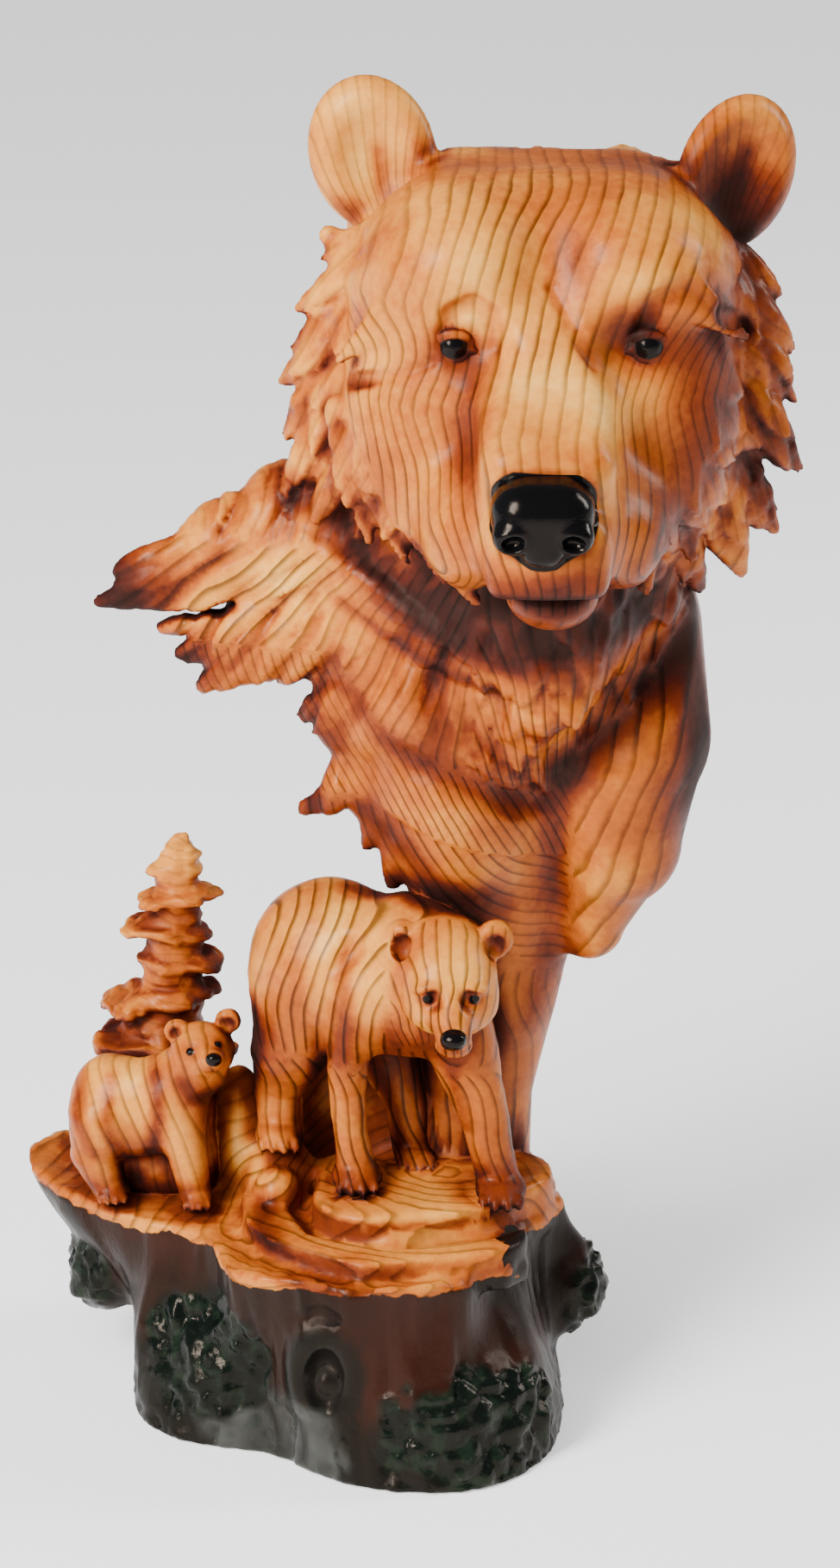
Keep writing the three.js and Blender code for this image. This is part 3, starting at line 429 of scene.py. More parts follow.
def cub(clay):
    # body, neck, head, muzzle and mouth
    ball(clay, (-50.5, 5, 67.5), (9.5, 10.5, 12), 2.5)
    ball(clay, (-44, 3, 67.5), (12, 10, 11.5), 2.5)
    ball(clay, (-37, 1, 69), (8.5, 9, 11), 2.5)
    limb(clay, [(-44, -8.5, 76), (-46, -9.5, 68), (-45, -8.5, 60)], [1.2, 1.6, 1.2], 2.5, cut=True)
    limb(clay, [(-37, 1, 73), (-30, -1, 80)], [8.0, 6.8], 2.5)
    ball(clay, (-29.3, -2.5, 83.5), (7.3, 7, 6.8), 1.2)
    limb(clay, [(-28, -7, 83.8), (-26.6, -11, 85)], [4, 2.6], 1.2)
    ball(clay, CUB_NOSE, (1.6, 1.1, 1.3), 0.3)
    mouth = [(-28.8, -11.6, 83.8), (-26.6, -13.4, 83.6), (-24.6, -11.6, 84.2)]
    limb(clay, mouth, [0.25, 0.25, 0.25], 0.2, cut=True)
    for side in (-1, 1):
        ear = (-29.5 + side * 5.8, -0.5, 88.9 + side * 1.2)
        ball(clay, ear, (3, 1.8, 3), 0.6)
        ball(clay, (ear[0], ear[1] - 2.1, ear[2] - 0.2), (1.8, 1.4, 1.8), 0.5, cut=True)
    for eye in CUB_EYES:
        ball(clay, eye, (0.8, 0.8, 0.8), 0.2)
    ball(clay, (-40, 7, 54), (14, 6, 10), 2)
    # legs: near fore, far fore, near hind, far hind
    limb(clay, [(-35, -2, 68), (-33, -4, 58), (-31.5, -4, 49)], [6.0, 4.4, 3.4], 2)
    paw(clay, (-31, -5.5, 49), 3.7)
    limb(clay, [(-33, 8, 66), (-31, 9, 56), (-30, 8, 48)], [6, 4.6, 3.6], 2)
    limb(clay, [(-52, 0, 66), (-54, 0, 58), (-51, 0, 49)], [8, 5.5, 3.8], 2)
    paw(clay, (-50, -1.5, 49), 4.0)
    limb(clay, [(-50, 10, 66), (-50, 11, 57), (-48, 10, 48)], [7, 5, 3.8], 2)


def trunk(clay):
    # foreleg column and its knee
    limb(clay, [(27, 17, 40), (31, 16, 68), (35, 15, 98), (38, 12, 140)], [17, 14, 16.5, 24], 4, flat=0.8)
    ball(clay, (38, 12, 92), (10, 11, 13), 3)
    limb(clay, [(44, 0, 84), (38, -1, 77), (32, 0, 74)], [0.8, 1.2, 0.8], 2, cut=True)
    # chest
    ball(clay, (38, 9, 161), (31, 25, 37), 8)
    ball(clay, (27, 1, 151), (18, 18, 31), 6)
    limb(clay, [(27, 2, 142), (28, 6, 116)], [14, 10], 5)
    # shoulder at the right, cut off below
    limb(clay, [(57.5, 9, 178), (61, 7, 155), (60, 6, 132), (56.5, 6, 111)], [23, 22, 17, 8], 4, flat=0.9)
    # neck and furry bib
    limb(clay, [(45, 10, 225), (42, 8, 190)], [36, 33], 6)
    limb(clay, [(45, -14, 192), (47, -16, 172), (48.5, -15, 154)], [18, 11, 4], 5)
    # grooves beside the bib and down the chest
    beside_bib = ((82, 192), (74, 179), (66, 169), (58, 161), (51, 154))
    laid(clay, beside_bib, (6, 9, 10, 9.5, 8), 4, -0.68, cut=True)
    down_chest = ((50, 156), (48.5, 146), (48.0, 134), (48.6, 122), (50, 108))
    laid(clay, down_chest, (7, 7, 6.5, 6, 5), 4, -0.68, cut=True)
    laid(clay, ((3, 170), (12, 160.5), (23, 154), (34, 150), (45, 145)), (4, 5, 5, 5, 4), 2, -0.7, cut=True)


# Fur tips of the wing: root, tip, width
WING_LOCKS = (
    ((-22, 10, 196), (-45.5, 10, 192.5), 7),
    ((-26, 8, 190), (-50, 10, 184.5), 7),
    ((-18, 6, 185), (-36.5, 8, 180.5), 7),
    ((-8, 4, 182), (-32, 6, 174), 8),
    ((-6, 3, 177), (-28, 5, 168), 7),
    ((0, 2, 174), (-12, 4, 169.5), 5),
    ((6, 0, 168), (-6, 3, 161), 7),
    ((10, 0, 158), (0, 2, 147), 6),
    ((12, 0, 150), (-6, 2, 139.5), 6),
    ((14, 0, 146), (7, 2, 131), 6),
    ((16, 0, 138), (13, 3, 122), 6),
)


def wing(clay):
    limb(clay, [(20, 8, 196), (-5, 10, 199), (-20, 10, 196), (-36, 9, 188)], [25, 18.5, 13, 6], 5, flat=0.8)
    limb(clay, [(18, 2, 181), (-3, 3, 180.5), (-17, 4, 177)], [18, 10, 7], 4, flat=0.8)
    limb(clay, [(20, 0, 166), (4, 2, 160)], [18, 8], 4)
    limb(clay, [(24, 0, 150), (10, 2, 143)], [15, 7], 4)
    for root, tip, width in WING_LOCKS:
        lock(clay, root, tip, width, 1.6, sag=(0, -1.5, 1), sharp=0.3)
    # notch between the upper and the lower fur tips
    block(clay, (-30, 6, 183.6), (10, 24, 1.0), 0.8, 1.2, tilt=(0, -14, 0), cut=True)
    # folds of fur that flow down the neck below the jaw
    for path, radii in (
        (((-6, 203), (5, 197), (16, 190), (30, 184), (44, 181)), (2.2, 3.4, 3.8, 3.4, 2.2)),
        (((2, 194), (12, 187), (22, 181), (34, 177), (46, 175)), (2.0, 3.0, 3.4, 2.8, 1.8)),
    ):
        laid(clay, path, radii, 1.2, 0.35)


# Tufts of the ruff, down its left and then its right: root, tip, width
RUFF_TUFTS = (
    ((10, 0, 267), (-1.5, 2, 262.5), 4.5),
    ((6, -2, 260), (-7, 3, 251), 5),
    ((4, -2, 250), (-8, 4, 243), 6),
    ((3, -2, 245), (-10, 4, 235.5), 6.5),
    ((3, -2, 236), (-9.5, 4, 224), 8),
    ((2, -2, 226), (-8, 3, 212), 8),
    ((2, -6, 216), (-4, -2, 205), 5),
    ((82, 0, 265), (94, 3, 254), 5),
    ((84, -2, 256), (97, 4, 243), 7),
    ((84, -2, 246), (98, 4, 232), 8),
    ((86, -2, 233), (99.6, 4, 216.5), 8),
    ((84, -2, 218), (95, 4, 203), 8),
    ((80, -4, 212), (88, 2, 194), 7),
    ((72, -6, 206), (79, 0, 191), 6),
)


def ruff(clay):
    ball(clay, (45, 12, 238), (49, 26, 41), 5)
    ball(clay, (45, 6, 224), (47, 30, 29), 5)
    for root, tip, width in RUFF_TUFTS:
        lock(clay, root, tip, width, 1.4, flat=0.8, sharp=0.2)


def mantle(clay):
    """Rows of locks down the back: height, drop, half width, depth, count."""
    rows = (
        (268, 24, 34, 30, 5), (240, 26, 36, 33, 5), (212, 26, 30, 33, 4),
        (184, 26, 24, 31, 4), (156, 24, 18, 28, 3))
    for row, (height, drop, half, depth, count) in enumerate(rows):
        for i in range(count):
            across = 2 * i / (count - 1) - 1
            x = 44 + across * half
            y = depth * (1 - 0.35 * across * across) + 1
            root = (x, y - 3, height + 6)
            tip = (x + 3 * math.sin(i * 2.3 + row), y + 1.5, height - drop)
            lock(clay, root, tip, 8, 2, sag=(0, 2.5, 0), flat=0.55)


# Middle of the face, nose pad, eyes as place and side, and half the height of an ear
MIDDLE = 44.6
NOSE = (43.4, -62.5, 225.0)
EYES = ((25.9, -1), (65.4, 1))
EYE_RADIUS = 3.0
EYE_HEIGHT = 252.0
EYE_SINK = 0.3
EAR_HALF = 16.75


def face(clay):
    # skull, cheeks, brows and the dip between the brows
    block(clay, (44.5, 2, 249), (40.5, 36, 34.6), 26, 4)
    ball(clay, (45, -8, 247), (37, 30, 30), 4)
    ball(clay, (22, -12, 229), (19, 21, 26), 6)
    ball(clay, (68, -12, 229), (17, 21, 26), 6)
    ball(clay, (27, -22, 268), (15, 13, 10), 8, tilt=(0, -12, 0))
    ball(clay, (63, -22, 268), (15, 13, 10), 8, tilt=(0, 12, 0))
    ball(clay, (45, -38, 275), (5, 8, 16), 8, tilt=(-12, 0, 0), cut=True)
    # locks at the outer ends of the brows, and the cheeks' lower halves
    lock(clay, (20, -26, 262), (2.5, -21, 246.5), 5, 2.5)
    lock(clay, (66, -31, 265), (85.5, -26, 252.5), 6, 1.5, sag=(0, -1, 1.5))
    ball(clay, (29, -34, 215), (10, 16, 13), 9)
    ball(clay, (60, -34, 215), (10, 16, 13), 9)
    # muzzle, lips and chin
    block(clay, (MIDDLE, -32, 235.5), (13.8, 27, 16.5), 6.5, 8, tilt=(32, 0, 0))
    ball(clay, (MIDDLE, -47, 216), (15.5, 19.5, 12), 4)
    block(clay, (MIDDLE, -49.5, 215.5), (12.4, 14.5, 9), 4.5, 3)
    block(clay, (MIDDLE, -62, 201.0), (22, 14, 6.6), 0.6, 0.6, cut=True)
    ball(clay, (MIDDLE + 1.4, -45, 204.0), (9.6, 13.5, 7.0), 1.0)
    # ears
    left_ear = ((9, 12, 266), (0, -12, -8), (0.5, -8.6))
    right_ear = ((85.5, 12, 262), (0, 22, 25), (1.5, -7.4))
    for root, tilt, shift in (left_ear, right_ear):
        centre = (root[0], root[1], root[2] + EAR_HALF)
        ball(clay, centre, (13.5, 6.5, EAR_HALF), 2.5, tilt)
        bowl = (centre[0] + shift[0], centre[1] + shift[1], centre[2] + 0.5)
        ball(clay, bowl, (10.4, 6.5, 13.7), 2, tilt, cut=True)
    # tuft below the left ear
    lock(clay, (10, -3, 262), (0, 2, 267.5), 4.6, 2.0, sag=(0, 0, -1.5), sharp=0.5)
    # sockets for the eyes, deeper towards the muzzle
    for x, side in EYES:
        ball(clay, (x - side * 3.4, -39.6, 252.6), (7.4, 8.0, 6.4), 5.5, cut=True)
    # arcs of the brows, the crease between them and the edge of the face at the left
    left_brow = ((24.0, 254.5), (25.5, 259), (29.5, 261.4), (33, 258.8), (34, 252.5))
    laid(clay, left_brow, (1.6, 2.2, 2.4, 2.2, 1.4), 1.5, -0.66, cut=True)
    right_brow = ((63.5, 254.5), (66.5, 261.5), (73, 264.4), (81, 259), (87, 250))
    laid(clay, right_brow, (1.6, 2.6, 3.0, 2.8, 1.8), 1.5, -0.60, cut=True)
    laid(clay, ((45.5, 264.5), (50.5, 256.5), (54.4, 250)), (1.2, 1.8, 1.2), 0.8, -0.6, cut=True)
    face_edge = ((4.5, 241), (10, 244.5), (15.1, 246), (21.5, 249.2))
    laid(clay, face_edge, (1.6, 2.0, 1.8, 1.2), 0.8, -0.72, cut=True)
    # locks sweeping down from the cheeks
    sweep = (
        ((3, -14, 234), (9, -16, 206), 5),
        ((7, -19, 230), (17, -22, 203), 5),
        ((12, -24, 226), (25, -28, 200.5), 5),
        ((20, -30, 220), (31, -36, 199), 4.5),
        ((76, -22, 226), (76, -18, 203), 6),
        ((70, -27, 222), (66, -28, 200), 5.5),
    )
    for root, tip, width in sweep:
        lock(clay, root, tip, width, 1.0, sag=(-1.5, -1, 0), across=(0.3, 1, 0), sharp=0.2)


def nose_pad(clay):
    """Wide above, narrow below, with curved nostrils."""
    x, y, z = NOSE
    block(clay, (x, y + 0.5, z + 0.8), (10.4, 8.0, 7.2), 6.8, 0.6, tilt=(12, 0, 0))
    block(clay, (x, y + 0.2, z - 5.2), (4.4, 7.2, 4.0), 3.4, 2.0)
    for side in (-1, 1):
        ball(clay, (x + side * 6.0, y - 4.4, z - 2.8), (4.2, 4.0, 3.7), 1.2)
        ball(clay, (x + side * 6.1, y - 9.2, z - 3.8), (2.9, 4.2, 2.1), 0.8, tilt=(0, side * 14, 0), cut=True)
    limb(clay, [(x, y - 8.2, z - 4), (x, y - 7.4, z - 8.6)], [0.5, 0.7], 0.6, cut=True)


def eye_and_lids(x, y, side):
    """A round eye with lids, set into the face at y; side points away from the nose."""

    def model(clay):
        ball(clay, (x, y, EYE_HEIGHT), (EYE_RADIUS, EYE_RADIUS, EYE_RADIUS), 0.1)
        ring, thickness = [], []
        for step in range(17):
            angle = 2 * math.pi * step / 16
            across, up = math.cos(angle), math.sin(angle)
            ring.append((x + 3.9 * across, y - 1.4 + 1.3 * across ** 2, EYE_HEIGHT + 3.0 * up))
            thickness.append(0.75 + 0.25 * max(up, 0))
        limb(clay, ring, thickness, 1.2)
        corner = [(x - side * 3.4, y - 0.8, EYE_HEIGHT - 0.5), (x - side * 5.8, y - 0.6, EYE_HEIGHT - 1.8)]
        limb(clay, corner, [1.0, 0.5], 0.8)
        low = EYE_HEIGHT - 3.0
        bag = [(x - 4.4, y - 0.2, low), (x, y - 1.2, low - 2.0), (x + 4.4, y - 0.2, low)]
        limb(clay, bag, [0.5, 0.8, 0.5], 0.8)

    return model


# From clay to mesh

def skin_of(clay):
    grid = openvdb.FloatGrid(FAR_AWAY)
    grid.copyFromArray(clay.field)
    points, quads = grid.convertToQuads(0.0)
    return clay.low + points.astype(float) * clay.step, quads.astype(int)


def normals_of(points, quads):
    diagonal_a = points[quads[:, 2]] - points[quads[:, 0]]
    diagonal_b = points[quads[:, 3]] - points[quads[:, 1]]
    face_normals = np.cross(diagonal_a, diagonal_b)
    total = np.zeros_like(points)
    for corner in range(4):
        for axis in range(3):
            total[:, axis] += np.bincount(quads[:, corner], face_normals[:, axis], len(points))
    return total / (np.linalg.norm(total, axis=1, keepdims=True) + 1e-9)


def strands(across, along, pitch, length, seed):
    """Grooves that run one way: -1 in a groove and 1 on the strand between grooves."""
    wave = noise(np.stack((across / pitch, along / length), axis=-1), seed)
    wave = wave + 0.5 * noise(np.stack((across / (pitch * 0.45), along / (length * 0.6)), axis=-1), seed + 1)
    return 2 * np.minimum(np.abs(wave) * 2.2, 1) - 1


def tufts(across, along, width, length, seed):
    """Overlapping pointed locks: 0 at their roots and in the gaps, 1 at the raised tips."""
    spacing = length * 0.55
    highest = np.zeros(len(across))
    for back in (0, 1):
        row = np.floor(along / spacing).astype(np.int64) - back
        part = (along - row * spacing) / length
        shift = 0.5 * (row % 2)
        for neighbour in (-1, 0, 1):
            column = np.round(across / width - shift).astype(np.int64) + neighbour
            chance = scramble((column * 57 + row * 3571) & 0xFFFFFFFF, seed)
            run = np.clip(part * (0.85 + 0.3 * chance), 0, 1)
            centre = (column + shift + 0.5 * (chance - 0.5)) * width + (chance - 0.5) * width * run ** 2
            half = width * 0.66 * (1 - run ** 2.4) + 0.01
            off = np.clip(np.abs(across - centre) / half, 0, 1)
            height = (0.15 + 0.85 * run) * np.sqrt(1 - off ** 2) * (part >= 0) * (part < 1)
            highest = np.maximum(highest, height)
    return highest


def face_share(p):
    """1 on the smooth carved face, 0 on the fur round it."""
    x, y, z = p.T
    noise_edge = 0.12 * noise(p / 9.0, 31)
    inside = 1.22 - ((x - 43) / 38) ** 2 - ((z - 246) / 44) ** 2 + noise_edge
    return ramp(inside, 0, 0.22) * ramp(-y, 2, 12)


def ear_share(p):
    x, y, z = p.T
    left = 1 - ((x - 8) / 17) ** 2 - ((z - 284) / 18) ** 2
    right = 1 - ((x - 87) / 17) ** 2 - ((z - 280) / 18) ** 2
    return ramp(np.maximum(left, right), 0, 0.2) * ramp(y, 0, 3) * ramp(24 - y, 0, 3)


def swept_flow(p):
    """Across and along coordinates of the fur that fans out to the left of the neck."""
    x, y, z = p.T
    angle = np.arctan2(z - 232, 46 - x)
    away = np.hypot(x - 46, z - 232)
    return (angle + 0.0022 * away) * 62, away


RING_SIZE = 45.0
OUTWARDS = 0.55
DOWNWARDS = 0.85


def ring_flow(p):
    """Across and along coordinates of the ruff, which runs outwards and down round the face."""
    x, y, z = p.T
    away = np.hypot(x - 44, z - 243) + 1
    round_face = np.arctan2(x - 44, z - 243)
    across = DOWNWARDS * (x - 44) - OUTWARDS * RING_SIZE * round_face
    along = OUTWARDS * RING_SIZE * np.log(away / RING_SIZE) - DOWNWARDS * (z - 243) + 0.5 * y
    return across, along + 200


BIB_EDGE_X = (0, 3, 12, 23, 34, 46, 51, 59, 67, 78)
BIB_EDGE_Z = (178, 172, 162, 156, 151.5, 147.5, 154, 162.5, 168.5, 190)
SEAM_X = (8, 25, 40, 50)
SEAM_Z = (144.5, 138, 133, 130.5)


def above_bib_edge(x, z):
    return z - np.interp(x, BIB_EDGE_X, BIB_EDGE_Z)


def above_seam(x, z):
    return z - np.interp(x, SEAM_X, SEAM_Z)


def bust_relief(p):
    x, y, z = p.T
    smooth_face = np.maximum(face_share(p), ear_share(p))
    head = ramp(z, 196, 206)
    back = ramp(y, 14, 24)
    crown = ramp(z, 268, 280) * (1 - back)
    ring_across, ring_along = ring_flow(p)
    muzzle = ramp(-y, 36, 42)
    ruff_share = head * (1 - smooth_face) * (1 - back) * (1 - crown) * (1 - muzzle)
    relief = ruff_share * (2.2 * tufts(ring_across, ring_along, 9.0, 24, 3) - 1.2
                           + 0.22 * strands(ring_across, ring_along, 2.6, 16, 8))
    across, along = swept_flow(p)
    ragged = ramp(12 - x, 0, 12)
    below_chin = (1 - head) * (1 - back) * (1 - muzzle)
    swept = below_chin * ramp(40 - x, 0, 12) * np.maximum(ramp(z, 158, 172), ragged)
    swept = swept * (1 - 0.6 * ramp(z, 178, 190) * ramp(x, -8, 4))
    relief += swept * (1.9 * tufts(across, along, 7.5, 34, 12) - 0.9
                       + 0.35 * strands(across, along, 2.6, 20, 17))
    bib = below_chin * ramp(x, 22, 34) * ramp(80 - x, 0, 4) * ramp(above_bib_edge(x, z), -0.8, 0.8)
    bib_angle = np.arctan2(x - 48, z - 118) * 60
    relief += bib * (2.2 * tufts(bib_angle, 300 - z, 8.0, 18, 22) - 0.8
                     + 0.3 * strands(bib_angle, z, 2.6, 10, 27) + 1.1 * noise(p / 5.5, 28))
    step = below_chin * ramp(50 - x, 0, 2) * ramp(x, 8, 14) * ramp(above_seam(x, z), -0.7, 0.7)
    relief += 0.7 * step * ramp(160 - z, 0, 20)
    plain_back = back * ramp(z, 100, 125) * (1 - ear_share(p))
    back_across = x + 3 * np.sin(z / 14)
    relief += plain_back * (1.8 * tufts(back_across, 320 - z, 11, 36, 33) - 0.9
                            + 0.3 * strands(back_across, z, 3.6, 26, 36))
    # soft facets left by the knife
    facets = noise(p / np.array((13.0, 13.0, 24.0)), 41)
    relief += 0.5 * facets * (1 - smooth_face * 0.6) * (1 - muzzle)
    return relief


MOSS_PATCHES = (
    ((-30, -26, 21), (19, 16, 15)),
    ((33, -43, 11), (26, 17, 15)),
    ((-56, 14, 23), (9, 12, 11)),
    ((57, 6, 21), (9, 13, 12)),
    ((14, 50, 13), (24, 14, 12)),
    ((-40, 36, 12), (16, 14, 11)),
)


def moss_share(p):
    share = np.zeros(len(p))
    rough_edge = 0.35 * noise(p / 4.0, 51)
    for at, radii in MOSS_PATCHES:
        inside = 1.15 - (((p - np.array(at)) / np.array(radii)) ** 2).sum(axis=1) + rough_edge
        share = np.maximum(share, ramp(inside, 0, 0.3))
    return share * ramp(rim_height(p[:, 0]) - 6 - p[:, 2], 0, 3)


def stump_relief(p):
    x, y, z = p.T
    side = ramp(rim_height(x) - 1 - z, 0, 2)
    moss = moss_share(p)
    angle = np.degrees(np.arctan2(y, x))
    plates = np.abs(noise(p / 3.6, 61)) * 2.4 - 1 + 0.7 * noise(p / 2.0, 62)
    cracks = np.minimum(np.abs(noise(p / np.array((6.0, 6.0, 8.0)), 63)) * 5, 1) - 1
    streaks = noise(np.stack((angle / 2.6, z / 22), axis=-1), 64)
    lower = ramp(16 - z, 0, 6)
    rough_plates = 0.8 * plates + 0.9 * cracks
    relief = side * (moss * rough_plates + (1 - moss) * (0.65 * streaks + 0.8 * lower * cracks))
    chips = ramp(2.5 - np.abs(z - rim_height(x) + 1), 0, 2) * 0.6 * noise(p / 2.6, 65)
    relief = relief + chips + (1 - side) * 0.25 * noise(p / 7, 66)
    return relief * ramp(z, 0, 1.5)


def figure_relief(p):
    return 0.12 * noise(p / 2.2, 71) + 0.45 * noise(p / 8.0, 72)


def no_relief(p):
    return np.zeros(len(p))


def fir_relief(p):
    layers = noise(p / np.array((4.5, 4.5, 1.6)), 81)
    chips = np.abs(noise(p / np.array((3.6, 3.6, 2.4)), 82)) * 2 - 0.8
    return 0.6 * layers + 0.6 * chips


def mesh_object(name, points, faces):
    mesh = bpy.data.meshes.new(name)
    mesh.from_pydata((points * MILLIMETRE).tolist(), [], faces.tolist())
    mesh.update()
    piece = bpy.data.objects.new(name, mesh)
    bpy.context.collection.objects.link(piece)
    return piece


def settle(piece):
    """Puts the result of a piece's modifiers into its mesh."""
    graph = bpy.context.evaluated_depsgraph_get()
    mesh = bpy.data.meshes.new_from_object(piece.evaluated_get(graph))
    piece.modifiers.clear()
    old = piece.data
    piece.data = mesh
    bpy.data.meshes.remove(old)


def carved(name, shapes, low, high, step, relief, triangles):
    clay = Clay(low, high, step)
    for shape in shapes:
        shape(clay)
    points, quads = skin_of(clay)
    normals = normals_of(points, quads)
    points = points + normals * relief(points)[:, None]
    points[:, 2] = np.maximum(points[:, 2], 0)
    piece = mesh_object(name, points, quads)
    thin = piece.modifiers.new("thin", "DECIMATE")
    thin.ratio = min(1, triangles / (2 * len(quads)))
    settle(piece)
    return piece, clay


bust, bust_clay = carved(
    "bear_bust", (trunk, wing, ruff, mantle, face),
    (-60, -86, 20), (112, 62, 308), BUST_STEP, bust_relief, BUST_TRIANGLES)
ground, ground_clay = carved(
    "stump", (stump, ledges),
    (-84, -70, -4), (74, 70, 80), STUMP_STEP, stump_relief, STUMP_TRIANGLES)
parent, parent_clay = carved(
    "mother_bear", (mother,),
    (-30, -48, 44), (52, 40, 134), FIGURE_STEP, figure_relief, MOTHER_TRIANGLES)
young, young_clay = carved(
    "cub", (cub,),
    (-70, -22, 40), (-12, 26, 100), FIGURE_STEP, figure_relief, CUB_TRIANGLES)
tree, tree_clay = carved(
    "fir", (fir,),
    (-66, 2, 34), (-16, 48, 134), FIGURE_STEP, fir_relief, FIR_TRIANGLES)

pad, pad_clay = carved(
    "nose", (nose_pad,),
    (28, -80, 208), (60, -52, 238), DETAIL_STEP, no_relief, NOSE_TRIANGLES)
eyes, eye_clays, eye_places = [], [], []
for eye_x, side in EYES:
    eye_y = bust_clay.front(eye_x, EYE_HEIGHT) + EYE_SINK
    eye, eye_clay = carved(
        "eye", (eye_and_lids(eye_x, eye_y, side),),
        (eye_x - 9, eye_y - 9, 244), (eye_x + 9, eye_y + 7, 260), DETAIL_STEP, no_relief, EYE_TRIANGLES)
    eyes.append(eye)
    eye_clays.append(eye_clay)
    eye_places.append((eye_x, eye_y, EYE_HEIGHT))

casting = bust
for other in (ground, parent, young, tree, pad, *eyes):
    join = casting.modifiers.new("join", "BOOLEAN")
    join.operation = "UNION"
    join.solver = "MANIFOLD"
    join.object = other
    settle(casting)
    spent = other.data
    bpy.data.objects.remove(other)
    bpy.data.meshes.remove(spent)
casting.name = "bear_family"
casting.data.name = "bear_family"
casting.data.shade_smooth()


# What the paint follows, worked out at every point of the mesh

def read_points(mesh):
    count = len(mesh.vertices)
    points = np.empty(count * 3, dtype=np.float32)
    normals = np.empty(count * 3, dtype=np.float32)
    mesh.vertices.foreach_get("co", points)
    mesh.vertex_normals.foreach_get("vector", normals)
    return points.reshape(-1, 3).astype(float) / MILLIMETRE, normals.reshape(-1, 3).astype(float)


def write_value(mesh, name, values):
    layer = mesh.attributes.new(name, "FLOAT", "POINT")
    layer.data.foreach_set("value", np.ascontiguousarray(values, dtype=np.float32))


points, normals = read_points(casting.data)
clays = (bust_clay, ground_clay, parent_clay, young_clay, tree_clay, pad_clay, *eye_clays)
near = np.array([clay.sample(points) for clay in clays])
owner = np.abs(near).argmin(axis=0)
is_ground, is_parent, is_young, is_fir = (owner == number for number in range(1, 5))
is_bust = (owner == 0) | (owner > 4)
x, y, z = points.T


def hidden(distance):
    """How far the surface lies in a hollow that is about this wide: 0 open, 1 deep."""
    probe = points + normals * distance
    depth = np.min([clay.sample(probe) for clay in clays], axis=0)
    return np.clip(1 - depth / distance, 0, 1.4)


hollow = 0.18 * hidden(2.5) + 0.42 * hidden(6.0) + 0.40 * hidden(14.0)

groove = np.zeros(len(points))
groove[is_bust] = bust_relief(points[is_bust])
groove[is_fir] = fir_relief(points[is_fir])


def spots(rows):
    """Soft spots of airbrushed paint, painted shade and painted light, added up."""
    total = np.zeros(len(points))
    for at, radii, strength in rows:
        total += strength * np.exp(-(((points - np.array(at)) / np.array(radii)) ** 2).sum(axis=1))
    return total


def stroke(path, width, front_of):
    """A soft painted stroke along a path, on what lies before a depth."""
    nearest = chain_distance(points[:, (0, 2)], np.array(path, dtype=float), [0] * len(path))
    return np.exp(-(nearest / width) ** 2) * ramp(front_of - y, 0, 6)


def strokes(rows, front_of):
    """Soft strokes of airbrushed paint and painted shade, added up."""
    total = np.zeros(len(points))
    for path, width, strength in rows:
        total += strength * stroke(path, width, front_of)
    return total


# Spots of airbrushed paint, painted shade and painted light: place, radii, strength
DARK_SPOTS = (
    # painted shade under the chin, down the neck and along the grooves of the chest
    ((45, -30, 190), (26, 18, 11), 0.55),
    ((45, -60, 203.5), (15, 8, 2.5), 0.35),
    ((45, -50, 200), (14, 12, 7), 0.50),
    ((18, -18, 196), (16, 20, 10), 0.5),
    ((68, -20, 192), (16, 16, 8), 0.6),
    ((80, 0, 150), (6, 14, 26), 0.35),
    ((46, 4, 100), (8, 16, 14), 0.3),
    # fur tips at the left
    ((-46, 10, 188), (12, 12, 10), 0.8),
    ((-32, 6, 172), (12, 12, 7), 0.6),
    ((-4, 2, 158), (6, 12, 8), 0.35),
    ((-3, 2, 141), (7, 12, 5), 0.5),
    ((8, 2, 128), (6, 12, 8), 0.3),
    # cheeks, ear roots, round the eyes and beside the nose; the spots at the right side are painted shade
    # where the light from the left falls off, and the spot below the nose is painted shade under it
    ((12, -24, 228), (10, 14, 14), 0.10),
    ((30, -36, 226), (5, 12, 14), 0.22),
    ((74, -22, 232), (12, 14, 24), 0.36),
    ((92, 0, 236), (10, 22, 36), 0.20),
    ((46, -22, 277), (11, 14, 12), 0.10),
    ((84, -10, 150), (10, 16, 34), 0.26),
    ((90, 10, 268), (12, 14, 10), 0.20),
    ((66, -34, 214), (10, 14, 10), 0.25),
    ((24, 8, 270), (6, 12, 8), 0.40),
    ((80, 8, 268), (8, 12, 10), 0.32),
    ((60, -34, 255), (6, 8, 7), 0.35),
    ((31, -36, 251), (4, 8, 6), 0.12),
    ((48, -36, 268), (5, 10, 9), 0.22),
    ((44, -62, 236), (13, 9, 4), 0.14),
    ((28.5, -42, 238), (3.5, 12, 12), 0.16),
    ((43, -64, 210), (18, 12, 6), 0.44),
    ((22, -14, 145), (24, 16, 22), 0.28),
    ((14, -6, 178), (18, 16, 12), 0.22),
    ((46, -30, 170), (14, 16, 12), 0.10),
    ((68, -10, 145), (18, 20, 34), 0.20),
    ((88, 8, 276), (11, 14, 11), 0.30),
    ((36, 0, 84), (24, 22, 26), 0.10),
    # mother bear: painted shade at the rump, belly, under the head and at the legs
    ((-14, 0, 86), (6, 12, 10), 0.22),
    ((3, -13, 98), (3, 6, 12), 0.16),
    ((22, -14, 92), (12, 8, 8), 0.45),
    ((34, -12, 62), (7, 8, 7), 0.16),
    ((-12, 0, 64), (6, 8, 6), 0.14),
    ((12, 4, 78), (14, 8, 8), 0.25),
    # cub: painted shade under the belly and chest
    ((-40, 0, 60), (12, 8, 5), 0.3),
    ((-27, -4, 70), (5, 6, 8), 0.3),
)
